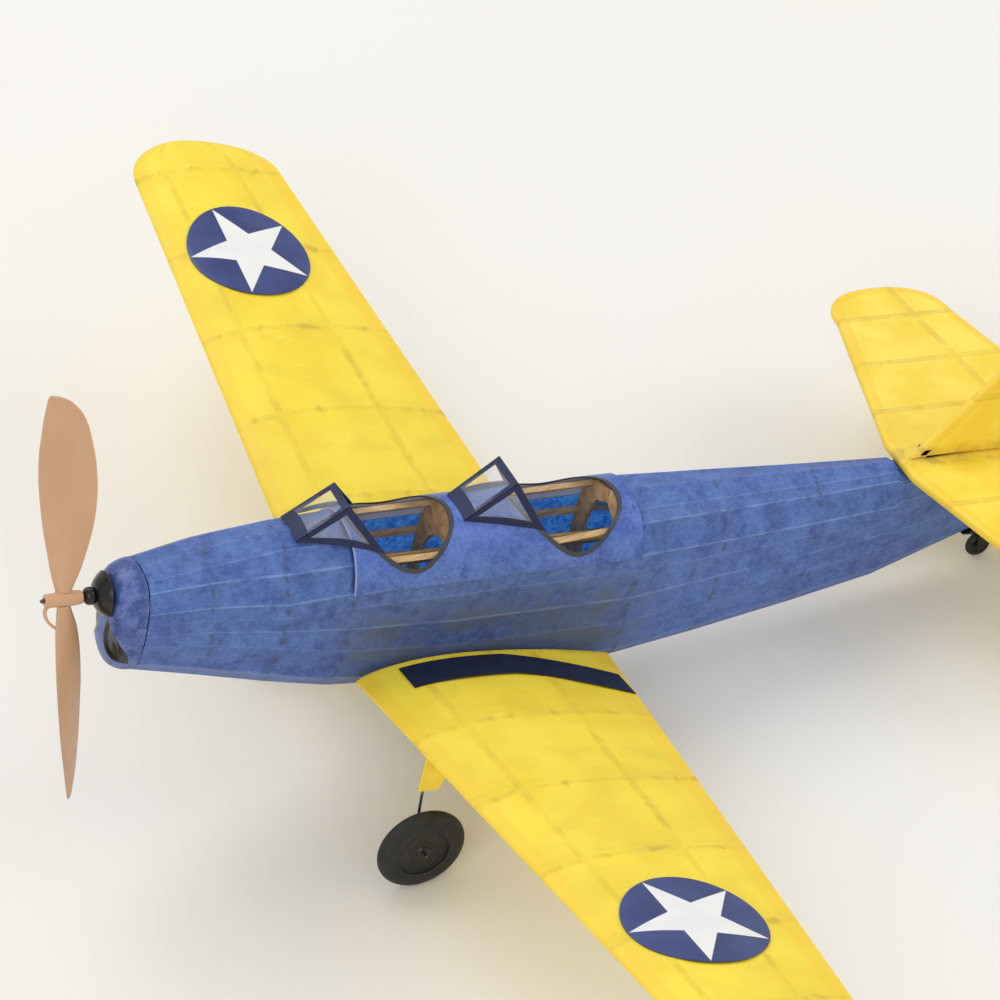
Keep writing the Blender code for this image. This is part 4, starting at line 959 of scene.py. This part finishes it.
def propeller(looks):
    """Two twisted blades on a hub, and the curved ramp that lets the propeller turn free of its shaft."""
    shape = Shape()
    for flip in (0.0, pi):
        shape.tube(blade_rings(flip))
    hub = [(0.85, HUB_FRONT)]
    hub += rounded(((1.6, HUB_FRONT), (1.85, -27.8), (2.0, -27.2), (2.15, -24.5), (2.3, PROP_X)))
    hub += rounded(((2.3, PROP_X + 0.1), (2.25, -19.5), (2.05, -17.2), (1.8, -16.6))) + [(0.85, HUB_REAR)]
    shape.turn(hub)
    down = np.array((0.0, -sin(PROP_TURN), -cos(PROP_TURN)))
    side = np.array((0.0, cos(PROP_TURN), -sin(PROP_TURN)))
    ramp = ((-26.6, 1.2), (HUB_FRONT, 2.4), (-28.3, 4.0), (-27.4, 6.2), (-25.6, 8.0), (-23.2, 9.2))
    path = smooth_rows(ramp, 8)
    rings = []
    for k, (x, radius) in enumerate(path):
        before, after = path[max(k - 1, 0)], path[min(k + 1, len(path) - 1)]
        run = (after - before) / np.linalg.norm(after - before)
        out = np.array((run[1], 0, 0)) - down * run[0]
        spot = np.array((x + 0.35, 0, 0)) + down * radius
        ring = []
        for t in round_angles(24):
            wide = 0.9 * copysign(abs(cos(t)) ** 0.5, cos(t))
            deep = 0.42 * copysign(abs(sin(t)) ** 0.7, sin(t))
            ring.append(spot + side * wide + out * deep)
        rings.append(ring)
    shape.tube(rings)
    piece("propeller_moulded", shape, [looks["tan"]], ["propeller"], "propeller")


def motor(looks):
    """Four strands of rubber strip from the shaft's hook to the peg, loosely twisted."""
    shape = Shape()
    for strand in range(4):
        path = []
        for t in np.linspace(0, 1, 90):
            x = 10.6 + (PEG[0] - 10.6) * t
            turn = strand * pi / 2 + t * 9.0
            wide = 1.3 * (0.55 + 0.45 * sin(pi * t))
            path.append((x, wide * cos(turn), PEG[2] * t + wide * sin(turn)))
        shape.tube(wire_rings(path, 0.75, 8))
    thing = piece("rubber_strands", shape, [looks["motor"]], ["rubber_motor"], None)
    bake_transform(thing)
    peg = [(0.0, -6.0), (1.1, -6.0), (1.3, -5.8), (1.3, 5.8), (1.1, 6.0), (0.0, 6.0)]
    shape = Shape().turn(peg, PEG, (0, 1, 0))
    piece("peg_dowel", shape, [looks["hardwood"]], ["motor_peg"], "peg")


# Wing


def wing_edges(y):
    bays = min(y - ROOT_Y, BAYS * BAY) / BAY
    front, rear = EDGE_SWEEP[0] * bays, ROOT_CHORD - EDGE_SWEEP[1] * bays
    if y > TIP_RIB:
        share = min((y - TIP_RIB) / (SEMI_SPAN - TIP_RIB), 1.0)
        close = 1.0 - sqrt(1.0 - share * share)
        middle = front + 0.42 * (rear - front)
        front += (middle - front) * close
        rear -= (rear - middle) * close
    return front, rear


def wing_height(y, x, up, rise=0.0):
    """Height of the wing's upper (1) or lower (-1) surface, as in the CAD part."""
    front, rear = wing_edges(y)
    chord = rear - front
    u = min(max((x - front) / chord, 0.0), 1.0)
    bend = 2 * CAMBER_PLACE * u - u * u
    if u < CAMBER_PLACE:
        camber = CAMBER / CAMBER_PLACE**2 * bend
    else:
        camber = CAMBER / (1 - CAMBER_PLACE) ** 2 * (1 - 2 * CAMBER_PLACE + bend)
    half = 0.2969 * sqrt(u) - 0.126 * u - 0.3516 * u**2 + 0.2843 * u**3 - 0.1015 * u**4
    half = 5 * WING_THICKNESS * half * chord + TE_HALF_THICKNESS * u
    return camber * chord + up * (half + rise) + DIHEDRAL * (y - ROOT_Y)


def wing(label, side, looks):
    """The covered wing: tissue sinking a little between the ribs and lying on the spars."""
    stations = list(np.linspace(ROOT_Y, TIP_RIB, BAYS * 16 + 1))
    closer = np.sin(np.linspace(0, pi / 2, 20)[1:]) * 0.999
    stations += list(TIP_RIB + (SEMI_SPAN - TIP_RIB) * closer)
    rings, chords, aheads, behinds = [], [], [], []
    steps = 44
    spread = (1 - np.cos(np.linspace(0, pi, steps + 1))) / 2
    for y in stations:
        front, rear = wing_edges(y)
        bay = (y - ROOT_Y) / BAY
        sink = 0.4 * abs(sin(pi * bay)) ** 0.7 if y < TIP_RIB else 0.0
        ring, shares = [], list(spread) + list(spread[-2:0:-1])
        for k, u in enumerate(shares):
            up = 1 if k <= steps else -1
            x = front + u * (rear - front)
            rest = min(abs(u - spot) for spot in (0.0, *SPARS, 1.0))
            drop = sink * min(rest / 0.12, 1.0)
            ring.append((x, side * y, wing_height(y, x, up, -drop)))
        rings.append(ring)
        chords.append(shares)
        aheads.append([u * (rear - front) for u in shares])
        behinds.append([(1 - u) * (rear - front) for u in shares])
    shape = Shape().tube(rings)
    values = {"chord": np.ravel(chords), "ahead": np.ravel(aheads), "behind": np.ravel(behinds)}
    fold_place(piece(f"{label}_wing_tissue", shape, [looks["wing"]],
                     [f"{label}_wing_covering"], matrix=WING, sharp=50, values=values))


def fold_place(thing):
    """Makes the pattern coordinates the same on both wings."""
    spots = thing.data.attributes["place"].data
    numbers = np.zeros(len(spots) * 3, np.float32)
    spots.foreach_get("vector", numbers)
    numbers[1::3] = np.abs(numbers[1::3])
    spots.foreach_set("vector", numbers)


def patch(name, side, rows, look, node):
    """A thin printed patch lying on the wing's upper surface."""
    upper, lower = [
        [[(x, side * y, wing_height(y, x, 1, rise)) for x, y in row] for row in rows] for rise in (0.42, 0.1)
    ]
    shape = Shape().sheet(upper, lower)
    fold_place(piece(name, shape, [look], [node], matrix=WING))


def wing_prints(label, side, looks):
    rows = []
    for x in np.linspace(11.6, 81.1, 48):
        inner = 20.0 + 12.0 * (max(x - 45.0, 0.0) / 37.0) ** 1.2
        rows.append([(x, inner + 11.3 * s) for s in np.linspace(0, 1, 7)])
    patch(f"{label}_walkway_print", side, rows, looks["navy"], f"{label}_walkway")
    rings = []
    levels = [(1.0, 0.1), (1.0, 0.4)] + [(share, 0.45) for share in np.linspace(0.98, 0.02, 14)]
    for share, rise in levels:
        radius = DISC[2] * share
        ring = []
        for turn in round_angles(96):
            x, y = DISC[0] + radius * cos(turn), DISC[1] + radius * sin(turn)
            ring.append((x, side * y, wing_height(y, x, 1, rise)))
        rings.append(ring)
    fold_place(piece(f"{label}_roundel_print", Shape().tube(rings), [looks["insignia"]],
                     [f"{label}_roundel"], matrix=WING, sharp=50))


# Tail


def unit_rows(rows):
    return rows / np.maximum(np.linalg.norm(rows, axis=1), 1e-9)[:, None]


def layered_plate(outline, half, place, edge_width):
    """A plate with rounded edges: rings set in from an outline, on both faces."""
    outline = np.asarray(outline, float)
    before, after = np.roll(outline, 1, 0), np.roll(outline, -1, 0)
    run = unit_rows(outline - before) + unit_rows(after - outline)
    inward = unit_rows(np.stack((-run[:, 1], run[:, 0]), 1))
    area = (outline[:, 0] * after[:, 1] - after[:, 0] * outline[:, 1]).sum()
    inward *= np.sign(area)
    levels = [(0.0, 0.0, 1), (0.12, 0.55, 1), (0.5, 0.88, 1), (1.1, 1.0, 1), (edge_width, 1.0, 1)]
    levels += [(edge_width + 0.6, 0.92, 0)]
    rings, edge = [], []
    for inset, rise, mark in reversed(levels):
        rings.append([place(a, b, half * rise) for a, b in outline + inward * inset])
        edge.append([mark] * len(outline))
    for inset, rise, mark in levels[1:]:
        rings.append([place(a, b, -half * rise) for a, b in outline + inward * inset])
        edge.append([mark] * len(outline))
    return Shape().tube(rings), np.ravel(edge)


def stab_outline():
    def edges(y):
        return STAB_FRONT + 0.28 * max(y - STAB_STRAIGHT, 0.0), STAB_REAR - 0.245 * y

    front, rear = edges(STAB_TIP_START)
    middle, half = (front + rear) / 2, (rear - front) / 2
    points = [(STAB_FRONT, y) for y in np.linspace(0, STAB_STRAIGHT, 6)]
    points += [(edges(y)[0], y) for y in np.linspace(STAB_STRAIGHT, STAB_TIP_START, 24)[1:-1]]
    for turn in np.linspace(0, pi, 44):
        across = copysign(abs(cos(turn)) ** (2 / 2.3), -cos(turn))
        outward = STAB_TIP * abs(sin(turn)) ** (2 / 2.3)
        points.append((middle + half * across, STAB_TIP_START + outward))
    points += [(edges(y)[1], y) for y in np.linspace(STAB_TIP_START, 0, 24)[1:]]
    return points + [(x, -y) for x, y in reversed(points[1:-1])]


def fin_outline():
    def line(start, goal, shares):
        return [tuple(a + (b - a) * t for a, b in zip(start, goal)) for t in shares]

    hinge_x, foot_x = 316.0, FIN_REAR - 5.0
    points = line((FIN_FRONT, FIN_BASE), (283.5, FIN_BASE + 30.0), np.linspace(0, 1, 14))
    for turn in np.radians(np.linspace(152, 0, 44)):
        points.append((hinge_x + 30.0 * cos(turn), FIN_BASE + 34.0 + 24.0 * sin(turn)))
    points += line((FIN_REAR, FIN_BASE + 34.0), (FIN_REAR, FIN_BASE + 20.0), np.linspace(0.2, 1, 5))
    points += line((FIN_REAR, FIN_BASE + 20.0), (foot_x, FIN_BASE), np.linspace(0.1, 1, 8))
    return points + line((foot_x, FIN_BASE), (FIN_FRONT, FIN_BASE), np.linspace(0, 1, 30)[1:-1])


def tail_surfaces(looks):
    shape, edge = layered_plate(stab_outline(), 1.5, lambda a, b, h: (a, b, STAB_Z + h), 3.4)
    piece("stabiliser_tissue", shape, [looks["tail"]],
          ["stabiliser_top_tissue", "stabiliser_bottom_tissue", "stabiliser_frame"], values={"edge": edge})
    shape, edge = layered_plate(fin_outline(), 1.4, lambda a, b, h: (a, h, b), 3.0)
    piece("fin_tissue", shape, [looks["tail"]],
          ["fin_left_tissue", "fin_right_tissue", "fin_frame"], values={"edge": edge})


# Landing gear


def wheel_profile(radius, half):
    tread = radius * 0.3
    tyre = [(radius * 0.5, -half * 0.62), (radius * 0.6, -half * 0.7)]
    for degrees in np.linspace(-112, 112, 33):
        turn = radians(degrees)
        tyre.append((radius - tread + tread * cos(turn), half * sin(turn)))
    tyre += [(radius * 0.6, half * 0.7), (radius * 0.5, half * 0.62)]
    cap = ((0.02, 0.98), (radius * 0.12, 0.96), (radius * 0.16, 0.72))
    disc = ((radius * 0.3, 0.6), (radius * 0.46, 0.66), (radius * 0.54, 0.56))
    hub = []
    for part in (cap, disc):
        hub += rounded([(r, -half * share) for r, share in part], 4)
    hub += [(r, -d) for r, d in reversed(hub)]
    return tyre, hub


def wheel(body, node, centre, radius, half, looks):
    tyre, hub = wheel_profile(radius, half)
    shape = Shape().turn(tyre, centre, (0, 1, 0), 96).turn(hub, centre, (0, 1, 0), 96, 1)
    piece(f"{body}_turned", shape, [looks["tyre"], looks["black"]], [node], body)


def underside(x, y):
    local_x = x - WING_ORIGIN[0]
    local_z = wing_height(abs(y), local_x, -1)
    return WING_ORIGIN[2] + local_z * cos(INCIDENCE) - local_x * sin(INCIDENCE)


def plate_rings(outline, middle, half):
    """Rings of an upright plate with rounded edges, from its (x, z) outline."""
    dense = []
    for (x, z), (after_x, after_z) in zip(outline, outline[1:] + outline[:1]):
        dense += [(x + (after_x - x) * t, z + (after_z - z) * t) for t in np.linspace(0, 1, 9)[:-1]]
    centre = np.mean(dense, axis=0)
    inset = min(half * 0.5, 0.4)
    rings = []
    for offset, shrink in ((-half, inset), (-half + inset, 0.0), (half - inset, 0.0), (half, inset)):
        spots = [toward(spot, centre, shrink) for spot in dense]
        rings.append([(x, middle + offset, z) for x, z in spots])
    return rings


def main_gear(label, side, looks):
    axle_x, _, axle_z = RIGHT_WHEEL
    top = underside(LEG_TOP_X, LEG_Y) - 0.5
    path = [(LEG_TOP_X, LEG_Y, top), (77.2, LEG_Y, -40.0), (77.6, LEG_Y, -52.0), (78.7, LEG_Y, -63.0)]
    path += [(axle_x, 53.7, -64.3), (axle_x, 54.4, axle_z), (axle_x, 58.0, axle_z), (axle_x, 60.8, axle_z)]
    path = [(x, side * y, z) for x, y, z in smooth_rows(path, 8)]
    shape = Shape().tube(wire_rings(path, 0.45))
    piece(f"{label}_leg_wire", shape, [looks["wire"]], [f"{label}_gear_leg"])
    corners = [(75.2, FAIRING_BOTTOM), (81.4, FAIRING_BOTTOM)]
    corners += [(x, underside(x, 54) - 0.3) for x in (88.5, 75.2)]
    shape = Shape().tube(plate_rings(corners, side * FAIRING_Y, 0.45))
    piece(f"{label}_fairing_card", shape, [looks["yellow_card"]], [f"{label}_gear_fairing"])


def tail_gear(looks):
    bracket = [(287.0, -17.2), (303.0, -10.6), (299.5, -15.5), (298.2, -18.6), (293.8, -18.6), (291.0, -17.6)]
    arm = [(293.8, -18.0), (298.2, -18.0), (297.4, -24.9), (294.6, -24.9)]
    shape = Shape()
    for outline, middle, half in ((bracket, 0.0, 2.3), (arm, -1.92, 0.33), (arm, 1.92, 0.33)):
        shape.tube(plate_rings(outline, middle, half))
    pin = [(0.0, -2.3), (0.45, -2.3), (0.5, -2.2), (0.5, 2.2), (0.45, 2.3), (0.0, 2.3)]
    shape.turn(pin, TAIL_WHEEL, (0, 1, 0), 32)
    piece("tail_wheel_fork", shape, [looks["black"]], ["tail_wheel_strut"])


# Frame parts that keep their CAD shape


def dress_frame(looks):
    for name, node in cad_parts.items():
        node.data.materials.clear()
        node.data.materials.append(looks["ply" if name.startswith("former_") else "balsa"])


# Room, light and camera


def stage(looks_floor):
    mesh = bpy.data.meshes.new("floor")
    mesh.from_pydata([(-4, -4, 0), (4, -4, 0), (4, 4, 0), (-4, 4, 0)], [], [(0, 1, 2, 3)])
    mesh.materials.append(looks_floor)
    floor = bpy.data.objects.new("floor", mesh)
    bpy.context.scene.collection.objects.link(floor)


def light(name, place, size, power):
    """A round soft light that faces the middle of the model."""
    lamp = bpy.data.lights.new(name, "AREA")
    lamp.shape = "DISK"
    lamp.size = size
    lamp.energy = power
    thing = bpy.data.objects.new(name, lamp)
    thing.location = place
    thing.rotation_euler = (Vector((0, 0, 0.05)) - Vector(place)).to_track_quat("-Z", "Y").to_euler()
    bpy.context.scene.collection.objects.link(thing)


def studio():
    look = Look("floor_paper", False)
    drift = look.noise(260.0, 2.0)
    look.colour = look.tones(drift, (240, 237, 231), (240, 238, 234), 0.35, 0.65)
    stage(look.done(0.9))
    world = bpy.data.worlds.new("studio")
    world.use_nodes = True
    background = world.node_tree.nodes["Background"]
    background.inputs["Color"].default_value = (1.0, 1.0, 1.0, 1.0)
    background.inputs["Strength"].default_value = 0.68
    bpy.context.scene.world = world
    light("key", (-0.3, 0.9, 1.6), 1.2, 9.0)
    light("side", (1.5, -0.5, 1.2), 1.0, 5.5)
    light("front", (-1.1, -1.2, 1.3), 1.4, 8.0)
    bpy.context.scene.view_settings.view_transform = "Standard"


def camera():
    place = DESIGN @ Vector((-419.9, -836.6, 711.1))
    goal = DESIGN @ Vector((96.0, -28.1, 41.0))
    forward = (goal - place).normalized()
    level = forward.cross(Vector((0, 0, 1))).normalized()
    roll = Matrix.Rotation(radians(1.39), 3, forward)
    right = roll @ level
    up = right.cross(forward)
    eye = bpy.data.cameras.new("camera")
    eye.lens = 146.3
    eye.sensor_width = 36.0
    eye.clip_start = 0.01
    thing = bpy.data.objects.new("camera", eye)
    turn = Matrix((right, up, -forward)).transposed().to_4x4()
    thing.matrix_world = Matrix.Translation(place) @ turn
    bpy.context.scene.collection.objects.link(thing)
    bpy.context.scene.camera = thing


def build():
    looks = make_looks()
    dress_frame(looks)
    fuselage_skin(looks)
    cockpit_deck(looks)
    windscreen("front", (45.3, 6.0), (60.7, 6.0, 26.6), (71.7, 12.2), looks)
    windscreen("rear", (99.4, 6.4), (114.6, 6.8, 28.9), (124.6, 11.6), looks)
    nose_block(looks)
    nose_fittings(looks)
    propeller(looks)
    motor(looks)
    for label, side in (("left", -1), ("right", 1)):
        wing(label, side, looks)
        wing_prints(label, side, looks)
        main_gear(label, side, looks)
    tail_surfaces(looks)
    tail_gear(looks)
    for body, node, centre, radius, half in WHEELS:
        wheel(body, node, centre, radius, half, looks)
    studio()
    camera()


build()
